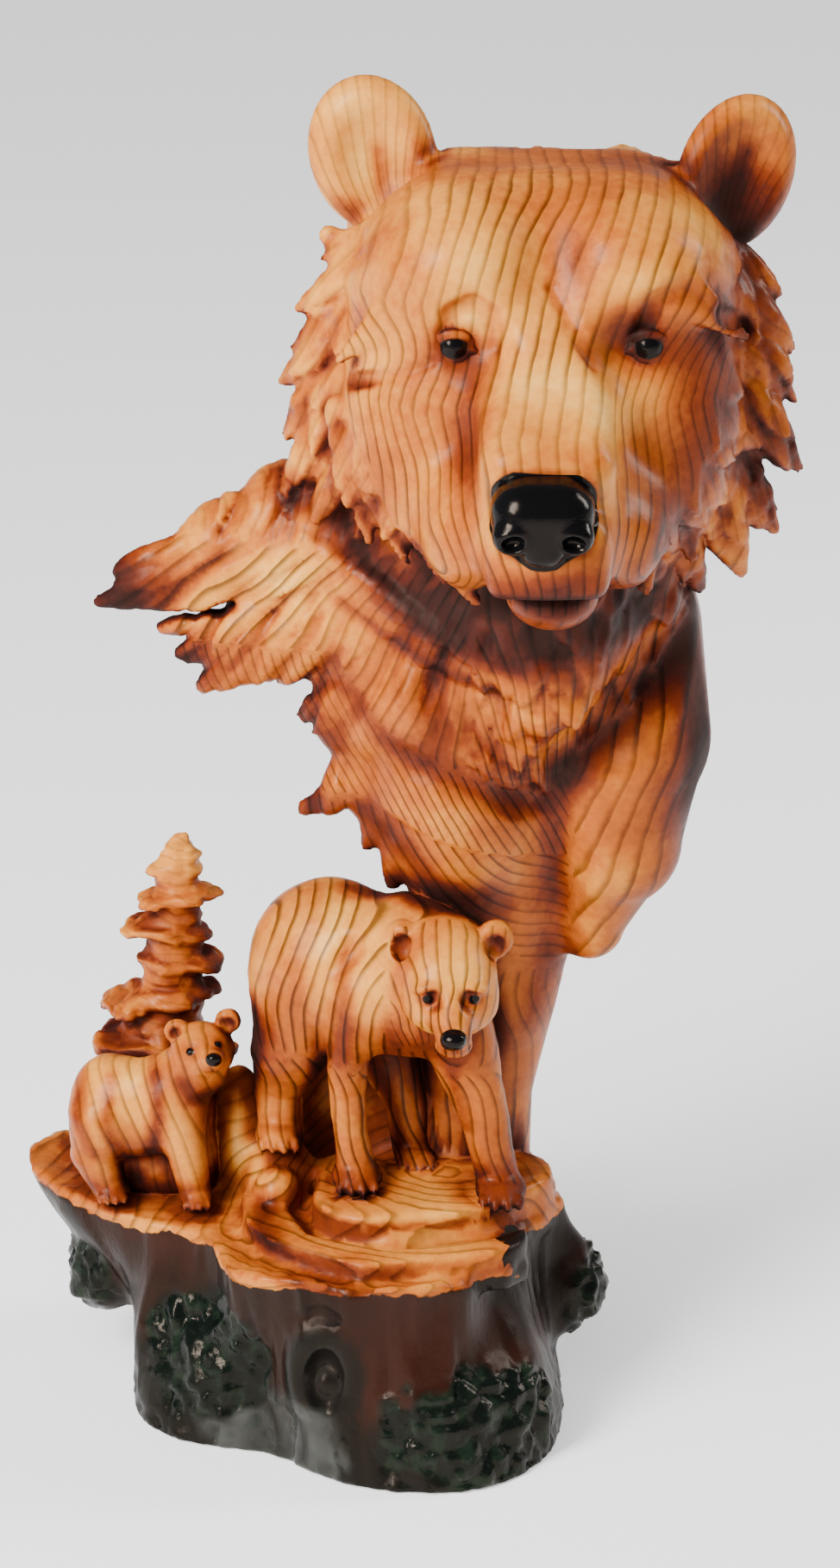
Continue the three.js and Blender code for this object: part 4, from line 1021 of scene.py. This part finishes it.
LIGHT_SPOTS = (
    # light places, partly the figurine's own paler paint and partly painted light and painted highlights:
    # brows, forehead, bridge of the nose, bib, wing, rump, ledge
    ((27, -34, 272), (8, 14, 9), 0.20),
    ((66, -34, 268), (10, 14, 8), 0.16),
    ((29, -36, 257.5), (6, 12, 4.5), 0.34),
    ((56, -48, 236), (2.5, 10, 12), 0.14),
    ((44, -50, 245), (10, 20, 16), 0.22),
    ((-10, 0, 192), (16, 20, 8), 0.22),
    ((26, -24, 140), (12, 16, 14), 0.15),
    ((2, -8, 110), (10, 12, 10), 0.21),
    ((8, 12, 284), (12, 9, 14), 0.24),
    ((17, -20, 238), (14, 14, 16), 0.18),
    ((26, -30, 262), (10, 12, 8), 0.10),
    ((88, 12, 286), (10, 9, 10), 0.15),
    ((25, -28, 112), (9, 10, 7), 0.16),
    ((-22, 2, 56), (8, 14, 12), 0.25),
    ((-46, 0, 76), (11, 12, 7), 0.24),
    ((-53, -6, 60), (5, 8, 8), 0.12),
    ((-30, -8, 58), (5, 8, 8), 0.12),
    ((-35, -4, 66), (4, 8, 8), 0.12),
    ((-30, -4, 86), (6, 6, 5), 0.10),
    ((20, -24, 53), (22, 16, 6), 0.10),
    ((12, -14, 180), (10, 12, 8), 0.10),
    ((45, -50, 203), (12, 12, 6), 0.30),
)
SMALL_FACE_SPOTS = (
    # reddish eye sockets and mouths of the small bears
    ((21.0, -27, 107.2), (2.8, 5, 2.4), 0.38),
    ((30.4, -27, 107.2), (2.8, 5, 2.4), 0.38),
    ((26.2, -33, 97.6), (4.0, 5, 1.8), 0.30),
    ((21.0, -32, 101), (2.0, 5, 3.0), 0.18),
    ((31.4, -32, 101), (2.0, 5, 3.0), 0.18),
    ((35.4, -17, 115), (3.0, 5, 3.4), 0.30),
    ((-31.8, -8, 86), (1.8, 4, 1.6), 0.22),
    ((-25.6, -8, 87.6), (1.8, 4, 1.6), 0.22),
    ((-26.5, -12, 83), (2.4, 4, 1.4), 0.22),
)
# Strokes of airbrushed paint and painted shade: path of x and height, width, strength
BUST_STROKES = (
    # painted shade in the grooves beside the bib and down the chest, and at the lower edge of the bib
    (((82, 190), (74, 178), (66, 169), (58, 161), (50, 153)), 4.6, 0.42),
    (((50, 153), (48, 143), (48, 132), (48.6, 120), (50, 106)), 3.4, 0.40),
    (((3, 170), (12, 160.5), (23, 154), (34, 150), (45, 145)), 2.8, 0.24),
    # painted shade in the neck folds below the jaw
    (((-8, 213), (4, 204), (14, 195), (26, 187), (40, 182)), 4.5, 0.26),
    (((2, 190), (12, 184), (24, 178), (36, 175)), 1.6, 0.22),
    # painted shade at the outer edge of the shoulder, and the low edge of the chest
    (((84, 176), (84, 150), (80, 130), (70, 116)), 5.0, 0.22),
    (((6, 142), (18, 132), (26, 118)), 3.0, 0.20),
    # brows, lids and the inner corners of the eyes
    (((24, 253.5), (25.5, 258.5), (29.5, 261), (33, 258.5), (34, 252)), 1.3, 0.08),
    (((63.5, 253.5), (66.5, 261), (73, 264), (81, 258.5), (87, 249.5)), 2.2, 0.17),
    (((45.5, 264.5), (50.5, 256.5), (54.4, 250)), 1.4, 0.08),
    (((4.5, 240.5), (10, 244), (15.1, 245.5), (21.5, 248.6)), 1.2, 0.05),
    # the edge of the upper lip
    (((33, 208), (45, 207.6), (57, 208)), 1.0, 0.30),
)
EAR_STROKES = (
    # folds in the ears
    (((22, 268), (15, 271), (11, 277), (10, 284)), 2.0, 0.30),
    (((74, 268), (81, 271), (86, 277), (88, 284)), 2.0, 0.30),
)
MOTHER_STROKES = (
    # mother bear: folds of rump, belly and shoulder, knees and paws
    (((-4, 117), (-8, 107), (-8, 96), (-3, 86)), 2.6, 0.12),
    (((4, 114), (2, 105), (3, 95), (1, 86)), 2.4, 0.16),
    (((13, 98), (13, 88), (12, 76), (11, 62)), 2.2, 0.18),
    (((16, 116), (14, 106), (16, 98)), 2.0, 0.16),
    (((27, 92), (26, 82), (29, 70)), 2.2, 0.20),
    (((0, 58), (5, 55), (11, 58)), 3.0, 0.16),
    (((31, 56), (37, 53), (43, 55)), 3.2, 0.22),
    (((-18, 64), (-12, 60), (-7, 62)), 3.0, 0.14),
)
CUB_STROKES = (
    # cub: folds of the hind leg, belly and shoulder
    (((-57, 76), (-58, 68), (-54, 60)), 2.0, 0.28),
    (((-50, 77), (-51, 68), (-48, 59)), 1.7, 0.30),
    (((-40, 79), (-39, 70), (-41, 60)), 1.7, 0.38),
    (((-34, 78), (-32, 74), (-26, 74)), 2.0, 0.32),
    (((-54, 51), (-49, 49), (-45, 51)), 2.2, 0.20),
    (((-35, 51), (-31, 49), (-27, 51)), 2.2, 0.20),
)
RIM_STROKES = (
    # the low front edge of the rim, and the valley left of the ledges
    (((-16, 50), (-4, 44.5), (12, 42.5), (28, 43.5), (40, 47)), 2.6, 0.22),
    (((-30, 60), (-22, 55), (-15, 50)), 3.0, 0.20),
)
SEAMS = (
    # seams in the smooth bark at the foot
    ((-17, 15), (-13, 9), (-12, 2)),
    ((-8, 14), (-6, 8), (-7, 3)),
    ((0, 10), (1, 5), (3, 1)),
)

# Airbrush and painted shade: 0 pale wood, 0.5 orange, 1 darkest maroon. It grows darker in hollows and
# between parts, partly the figurine's own airbrushed paint and partly painted shade.
shade = 0.33 + 0.55 * ramp(hollow, 0.14, 1.0)
shade += 0.14 * noise(points / 20.0, 91) + 0.05 * noise(points / 7.0, 92)
shade += (0.12 * ramp(66 - z, 0, 10) - 0.02) * is_parent + 0.12 * ramp(60 - z, 0, 12) * is_young
# painted shade in the fur grooves and painted highlight on the raised tufts
shade += np.where(is_bust, np.clip(-0.22 * groove, -0.08, 0.26), 0)
shade += spots(DARK_SPOTS) - spots(LIGHT_SPOTS)
shade = np.where(is_fir, shade + 0.05 * ramp(100 - z, 0, 20) - 0.08 * ramp(z, 108, 118), shade)
shade = np.where(is_ground, np.minimum(shade, 0.62), shade)


ears = ear_share(points)
shade += strokes(BUST_STROKES, 6.0) * is_bust + strokes(EAR_STROKES, 16.0) * ears
shade += strokes(MOTHER_STROKES, 14.0) * is_parent + strokes(CUB_STROKES, 14.0) * is_young
shade += strokes(RIM_STROKES, -6.0) * is_ground + spots(SMALL_FACE_SPOTS) * (is_parent | is_young)
for at in eye_places:
    shade += spots(((at, (6.0, 8.0, 5.0), 0.16), (at, (4.6, 6.0, 3.6), 0.30))) * is_bust

# Bark below the rim and on the chipped rim, moss plates on it, and the darker foot and knot
NO_BARK = -9.0
rim_wave = 1.2 * noise(np.stack((np.degrees(np.arctan2(y, x)) / 9, z / 30), axis=-1), 93)
bark = np.where(is_ground, rim_height(x) - 2.5 + rim_wave - z, NO_BARK)
bark = np.where(is_ground & (normals[:, 2] > 0.75) & (z > 40), NO_BARK, bark)
off_chip = (points - np.array((44, -27, 47))) / np.array((9, 9, 7))
broken = 1.3 - (off_chip ** 2).sum(axis=1) + 0.5 * noise(points / 3.0, 95)
bark = np.where(is_ground & (broken > 0), np.maximum(bark, broken * 2), bark)
moss = moss_share(points) * is_ground
off_knot = (points - np.array((-2, -44, 24))) / np.array((9.5, 8, 12.5))
foot = ramp(24 - z + 5 * noise(points / 9.0, 99), 0, 14) + ramp(1.2 - (off_knot ** 2).sum(axis=1), 0, 0.5)

# A smooth glossy patch of bark at the foot, with seams; its grey is a painted sheen, a reflection painted
# into the colour, and the patch is also less rough
off_sheen_patch = (points - np.array((-13, -40, 6))) / np.array((21, 20, 12))
on_sheen_patch = 1 - (off_sheen_patch ** 2).sum(axis=1) + 0.3 * noise(points / 5.0, 101)
gloss_and_painted_sheen = ramp(on_sheen_patch, 0, 0.4) * is_ground * (1 - moss)
for seam in SEAMS:
    gloss_and_painted_sheen *= 1 - stroke(seam, 0.7, 6.0)

# Black noses and eyes: distance to the black shapes, in millimetres
ink = pad_clay.sample(points) - 0.9
for at in eye_places:
    ink = np.minimum(ink, egg_distance(points, at, (EYE_RADIUS, EYE_RADIUS, EYE_RADIUS)) - 0.15)
ink = np.minimum(ink, egg_distance(points, MOTHER_NOSE, (3.0, 2.6, 2.3)))
for eye in MOTHER_EYES:
    ink = np.minimum(ink, egg_distance(points, (eye[0], eye[1] - 1, eye[2]), (1.25, 1.3, 1.1)))
ink = np.minimum(ink, egg_distance(points, CUB_NOSE, (1.8, 1.5, 1.5)))
for eye in CUB_EYES:
    ink = np.minimum(ink, egg_distance(points, eye, (0.9, 0.9, 0.9)))


def strongest(*pairs):
    """Takes the value with the largest share, and how clearly it leads: 0 on a border, 1 away from it."""
    shares = np.array([pair[0] * np.ones(len(points)) for pair in pairs])
    values = np.array([pair[1] for pair in pairs])
    first = shares.argmax(axis=0)
    picked = np.take_along_axis(values, first[None], axis=0)[0]
    ordered = np.sort(shares, axis=0)
    lead = (ordered[-1] - ordered[-2]) / (ordered[-1] + 1e-6)
    return picked, ramp(lead, 0.1, 0.8)


# Wood grain: a phase that counts the lines, and how strongly they show
wander = noise(points / 16.0, 94)
lean = np.maximum(z - 240, 0) * 0.34
pinch = 1 + 0.45 * ramp(224 - z, 0, 22) * ramp(-y, 38, 50)
from_middle = x - 44 - lean + 1.8 * np.sin((z - 236) / 19) + 1.4 * wander
cheeks = np.sign(from_middle) * np.maximum(np.abs(from_middle) - 14, 0) * 0.55 * ramp(262 - z, 0, 16)
head_lines = (from_middle * pinch + cheeks) / 3.8
left_ear = (np.arctan2(z - 254, x - 20) * 36 + 0.25 * (z - 256) + 1.0 * wander) / 2.3
right_ear = (np.arctan2(z - 252, x - 76) * 36 - 0.2 * (z - 254) + 1.0 * wander) / 2.4
swept_across, swept_along = swept_flow(points)
ring_across, ring_along = ring_flow(points)
fur_lines = swept_across / 3.0 + wander
ruff_lines = ring_across / 3.2 + wander
upper_chest = (0.95 * x + 0.30 * (z - 150) + 4 * np.sin((z - 150) / 14) + 1.2 * wander) / 2.2
lower_chest = (np.hypot(x - 58, z - 152) + 1.5 * wander) / 2.8
shoulder_wave = 5 * noise(points / 24.0, 96) + 2.5 * np.sin(z / 10)
shoulder_lines = (x + 0.07 * np.maximum(156 - z, 0) ** 1.5 + shoulder_wave) / 5.6
column_lines = (x + 0.3 * y + 3 * wander + 2 * np.sin(z / 12)) / 3.8
bib_lines = (np.arctan2(x - 48, z - 118) * 60 + 2 * wander) / 3.2
back_lines = (x + 3 * np.sin(z / 30) + 2 * wander) / 4.2

head_share = ramp(z, 198, 206)
smooth_face = face_share(points)
back_share = ramp(y, 16, 24)
crown = ramp(z, 262, 274)
right_side = ramp(x, 50, 54)
low_chest = ramp(-above_seam(x, z), -0.5, 0.5)
bib_share = ramp(above_bib_edge(x, z), -0.5, 0.5)
chest_share = (1 - head_share) * (1 - back_share) * (1 - right_side)
bust_phase, bust_lead = strongest(
    (head_share * (1 - ears) * np.maximum(smooth_face, crown * (1 - back_share)), head_lines),
    (ears * (x < 45), left_ear),
    (ears * (x >= 45), right_ear),
    (head_share * (1 - ears) * (1 - smooth_face) * (1 - back_share) * (1 - crown), ruff_lines),
    ((1 - head_share) * (1 - back_share) * bib_share * ramp(34 - x, 0, 8), fur_lines),
    ((1 - head_share) * (1 - back_share) * bib_share * ramp(x, 26, 34), bib_lines),
    (chest_share * (1 - bib_share) * (1 - low_chest), upper_chest),
    (chest_share * low_chest * ramp(z, 98, 106), lower_chest),
    ((1 - head_share) * (1 - back_share) * right_side * (1 - bib_share) * ramp(z, 98, 106), shoulder_lines),
    ((1 - back_share) * ramp(106 - z, 0, 8), column_lines),
    (back_share * (1 - ears), back_lines),
)

body_lines = (np.hypot(x - 26, (z - 92) * 0.75) + 2.0 * wander) / 2.7
leg_lines = (0.92 * x + 0.3 * z + 1.3 * np.sin(z / 4.5) + 1.5 * wander) / 2.7
brow_lines = (x - 26.2) / (2.3 + 0.06 * (z - 104)) + 0.4 * noise(points / 5.0, 97)
on_head = ramp(-y, 14, 18) * ramp(x, 10, 14)
parent_phase, parent_lead = strongest(
    (on_head, brow_lines),
    ((1 - on_head) * ramp(z, 80, 88), body_lines),
    ((1 - on_head) * ramp(88 - z, 0, 8), leg_lines),
)
young_phase = (x + 0.3 * z + 2.5 * wander) / 3.6
ledge_rings = (np.hypot((x - 26) * 0.8, y + 2) + 0.7 * z + 5 * wander) / 3.4
fir_phase = (z + 0.2 * x + 1.5 * noise(points / 4.0, 98)) / 2.4
owners = [is_bust, is_ground, is_parent, is_young]
phase = np.select(owners, [bust_phase, ledge_rings, parent_phase, young_phase], fir_phase)
line_strength = np.select(
    owners,
    [bust_lead * (1.0 - 0.45 * (1 - smooth_face) * head_share), 0.85, 1.3 * parent_lead, 0.8], 0.6)

for name, values in (
    ("grain", phase), ("grain_strength", line_strength), ("shade", shade), ("groove", groove),
    ("bark", bark), ("moss", moss), ("foot", foot), ("gloss_and_painted_sheen", gloss_and_painted_sheen), ("ink", ink), ("hollow", hollow),
):
    write_value(casting.data, name, values)


# Materials, built from nodes

class Nodes:
    """Adds and links the nodes of one material."""

    def __init__(self, name):
        self.material = bpy.data.materials.new(name)
        self.material.use_nodes = True
        self.tree = self.material.node_tree
        self.shader = self.tree.nodes["Principled BSDF"]

    def add(self, kind, inputs=(), **settings):
        node = self.tree.nodes.new(kind)
        for key, value in settings.items():
            setattr(node, key, value)
        for socket, value in dict(inputs).items():
            self.feed(node.inputs[socket], value)
        return node

    def feed(self, socket, value):
        if isinstance(value, bpy.types.NodeSocket):
            self.tree.links.new(value, socket)
        else:
            socket.default_value = value

    def value(self, name):
        return self.add("ShaderNodeAttribute", attribute_name=name).outputs["Fac"]

    def maths(self, operation, a, b=0.0):
        node = self.add("ShaderNodeMath", operation=operation)
        self.feed(node.inputs[0], a)
        self.feed(node.inputs[1], b)
        return node.outputs[0]

    def plus(self, a, b):
        return self.maths("ADD", a, b)

    def times(self, a, b):
        return self.maths("MULTIPLY", a, b)

    def between(self, value, low, high, to_low=0.0, to_high=1.0):
        node = self.add("ShaderNodeMapRange", interpolation_type="SMOOTHSTEP")
        for socket, entry in zip(node.inputs, (value, low, high, to_low, to_high)):
            self.feed(socket, entry)
        return node.outputs[0]

    def mix(self, share, a, b, blend="MIX"):
        node = self.add("ShaderNodeMix", data_type="RGBA", blend_type=blend)
        self.feed(node.inputs[0], share)
        for socket, colour in ((node.inputs[6], a), (node.inputs[7], b)):
            self.feed(socket, colour if isinstance(colour, bpy.types.NodeSocket) else (*colour, 1))
        return node.outputs[2]

    def noise(self, scale, detail=2.0, roughness=0.5, stretch=(1, 1, 1)):
        place = self.add("ShaderNodeTexCoord").outputs["Object"]
        mapping = self.add("ShaderNodeMapping", {"Vector": place, "Scale": stretch})
        return self.add("ShaderNodeTexNoise", {
            "Vector": mapping.outputs[0], "Scale": scale, "Detail": detail, "Roughness": roughness,
        }).outputs[0]


# Wood from pale to burnt, which the airbrush and the painted shade pick from, and the colours painted over it
WOOD_TONES = (
    (0.00, (0.80, 0.42, 0.095)),
    (0.20, (0.64, 0.245, 0.030)),
    (0.40, (0.40, 0.093, 0.009)),
    (0.60, (0.17, 0.025, 0.004)),
    (0.80, (0.060, 0.007, 0.003)),
    (1.00, (0.020, 0.004, 0.003)),
)
GRAIN_OLIVE = (0.26, 0.25, 0.20)
GROOVE_BROWN = (0.42, 0.20, 0.14)
BARK_BROWN = (0.0115, 0.0038, 0.0020)
BARK_BLACK = (0.0035, 0.0019, 0.0012)
BARK_RED = (0.030, 0.007, 0.004)
FOOT_GREEN = (0.0030, 0.0038, 0.0030)
HOLLOW_GREY = (0.012, 0.010, 0.009)
# grey of the sheen painted on the glossy patch at the foot
PAINTED_SHEEN_GREY = (0.048, 0.051, 0.045)
MOSS_DARK = (0.002, 0.004, 0.003)
MOSS_GREEN = (0.006, 0.012, 0.007)
INK_BLACK = (0.002, 0.002, 0.0025)
LACQUER_TINT = (1.0, 0.8, 0.65, 1)


def painted_resin():
    n = Nodes("painted_resin")
    shade = n.value("shade")
    cloud = n.noise(60, 3, 0.6)
    fine = n.noise(500, 3, 0.6)
    shade = n.plus(shade, n.between(cloud, 0.3, 0.7, -0.06, 0.06))
    shade = n.plus(shade, n.between(fine, 0.3, 0.7, -0.03, 0.03))
    ramp_node = n.add("ShaderNodeValToRGB", {"Fac": shade})
    stops = ramp_node.color_ramp.elements
    while len(stops) < len(WOOD_TONES):
        stops.new(0.5)
    for stop, (place, colour) in zip(stops, WOOD_TONES):
        stop.position = place
        stop.color = (*colour, 1)
    wood = ramp_node.outputs[0]

    # grain lines: thin, soft on one side, olive-brown
    phase = n.plus(n.value("grain"), n.between(n.noise(90, 2), 0.3, 0.7, -0.06, 0.06))
    part = n.maths("FRACT", phase)
    rising = n.between(part, 0.38, 0.84)
    falling = n.between(part, 0.88, 0.96, 1.0, 0.0)
    line = n.times(n.maths("POWER", rising, 2.4), falling)
    uneven = n.between(n.noise(40, 2), 0.35, 0.65, 0.55, 1.0)
    line = n.times(n.times(line, uneven), n.value("grain_strength"))
    wood = n.mix(line, wood, GRAIN_OLIVE, "MULTIPLY")

    # darker brown in the narrow grooves: painted shade
    groove_shade = n.between(n.value("groove"), -0.2, -1.0)
    wood = n.mix(n.times(groove_shade, 0.45), wood, GROOVE_BROWN, "MULTIPLY")

    # bark and moss plates
    streak = n.noise(40, 4, 0.6, (1.6, 1.6, 0.25))
    bark_tone = n.mix(n.between(streak, 0.40, 0.62), BARK_BROWN, BARK_BLACK)
    bark_tone = n.mix(n.between(n.noise(28, 2), 0.44, 0.64, 0.0, 0.6), bark_tone, BARK_RED)
    bark_tone = n.mix(n.between(n.value("foot"), 0.0, 1.0, 0.0, 0.85), bark_tone, FOOT_GREEN)
    bark_tone = n.mix(n.between(n.value("hollow"), 0.25, 0.8, 0.0, 0.85), bark_tone, HOLLOW_GREY)
    # painted sheen: a grey reflection painted on the glossy patch at the foot
    painted_sheen = n.times(n.value("gloss_and_painted_sheen"), n.between(n.noise(55, 3), 0.35, 0.65, 0.35, 1.0))
    bark_tone = n.mix(painted_sheen, bark_tone, PAINTED_SHEEN_GREY)
    moss_tone = n.mix(n.between(n.noise(240, 3), 0.45, 0.65), MOSS_DARK, MOSS_GREEN)
    bark_tone = n.mix(n.value("moss"), bark_tone, moss_tone)
    ragged_edge = n.between(n.noise(260, 3), 0.3, 0.7, -0.6, 0.6)
    on_bark = n.between(n.plus(n.value("bark"), ragged_edge), -0.25, 0.25)
    colour = n.mix(on_bark, wood, bark_tone)

    # black noses and eyes
    inked = n.between(n.value("ink"), 0.25, -0.05)
    colour = n.mix(inked, colour, INK_BLACK)
    n.feed(n.shader.inputs["Base Color"], colour)

    rough = n.between(n.noise(90, 3), 0.3, 0.7, 0.26, 0.42)
    rough = n.plus(rough, n.between(shade, 0.6, 1.0, 0.0, 0.25))
    rough = n.maths("SUBTRACT", rough, n.times(n.value("moss"), 0.10))
    rough = n.plus(rough, n.between(n.value("hollow"), 0.25, 0.8, 0.0, 0.3))
    rough = n.plus(rough, n.times(on_bark, 0.02))
    rough = n.maths("SUBTRACT", rough, n.times(n.value("gloss_and_painted_sheen"), 0.18))
    rough = n.times(rough, n.maths("SUBTRACT", 1.0, inked))
    rough = n.plus(rough, n.times(inked, 0.17))
    n.feed(n.shader.inputs["Roughness"], rough)
    n.shader.inputs["Specular IOR Level"].default_value = 0.15
    n.shader.inputs["Specular Tint"].default_value = LACQUER_TINT

    # the brush marks of the lacquer and the fine tooth of the carving
    tooth = n.noise(900, 3, 0.6)
    fissures = n.times(n.noise(150, 3, 0.6, (1.5, 1.5, 0.22)), n.times(on_bark, 4.0))
    crumbs = n.times(n.noise(320, 3, 0.6), n.times(n.value("moss"), 5.0))
    height = n.plus(n.plus(tooth, fissures), crumbs)
    bump = n.add("ShaderNodeBump", {"Height": height, "Strength": 0.16, "Distance": 0.0004})
    n.feed(n.shader.inputs["Normal"], bump.outputs[0])
    return n.material


casting.data.materials.clear()
casting.data.materials.append(painted_resin())
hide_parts("bear_family_casting")
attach(casting, "root")

# Floor
FLOOR_HALF = 9000.0
floor = mesh_object(
    "floor",
    FLOOR_HALF * np.array(((-1, -1, 0), (1, -1, 0), (1, 1, 0), (-1, 1, 0))),
    np.array(((0, 1, 2, 3),)))
floor_look = Nodes("floor")
floor_look.shader.inputs["Base Color"].default_value = (0.93, 0.93, 0.93, 1)
floor_look.shader.inputs["Roughness"].default_value = 0.9
floor_look.shader.inputs["Emission Color"].default_value = (1, 1, 1, 1)
floor_look.shader.inputs["Emission Strength"].default_value = 0.45
floor.data.materials.append(floor_look.material)

# Soft studio light
world = bpy.data.worlds.new("studio")
bpy.context.scene.world = world
world.use_nodes = True
background = world.node_tree.nodes["Background"]
background.inputs["Color"].default_value = (1, 1, 1, 1)
background.inputs["Strength"].default_value = 0.25


def soft_box(name, at, towards, size, power):
    light = bpy.data.lights.new(name, "AREA")
    light.shape = "RECTANGLE"
    light.size, light.size_y = size
    light.energy = power
    lamp = bpy.data.objects.new(name, light)
    bpy.context.collection.objects.link(lamp)
    lamp.location = at
    aim = Vector(towards) - Vector(at)
    lamp.rotation_euler = aim.to_track_quat("-Z", "Y").to_euler()


soft_box("key", (-0.75, -0.80, 0.85), (0.03, 0, 0.18), (0.5, 0.7), 38)
soft_box("side", (1.0, 0.22, 0.72), (0.05, 0, 0.24), (0.22, 0.7), 9)

sun = bpy.data.lights.new("sky_panel", "SUN")
sun.energy = 2.2
sun.angle = math.radians(70)
panel = bpy.data.objects.new("sky_panel", sun)
bpy.context.collection.objects.link(panel)
panel.rotation_euler = (math.radians(32), math.radians(-34), 0)
panel.visible_glossy = False

# Camera at the photograph's angle
camera = bpy.data.cameras.new("camera")
camera.sensor_width = 36
camera.lens = 100.1
camera.clip_start = 0.01
viewer = bpy.data.objects.new("camera", camera)
bpy.context.collection.objects.link(viewer)
viewer.location = (0.019, -0.895, 0.470)
looking_down = 19.9
viewer.rotation_euler = (math.radians(90 - looking_down), 0, 0)
bpy.context.scene.camera = viewer
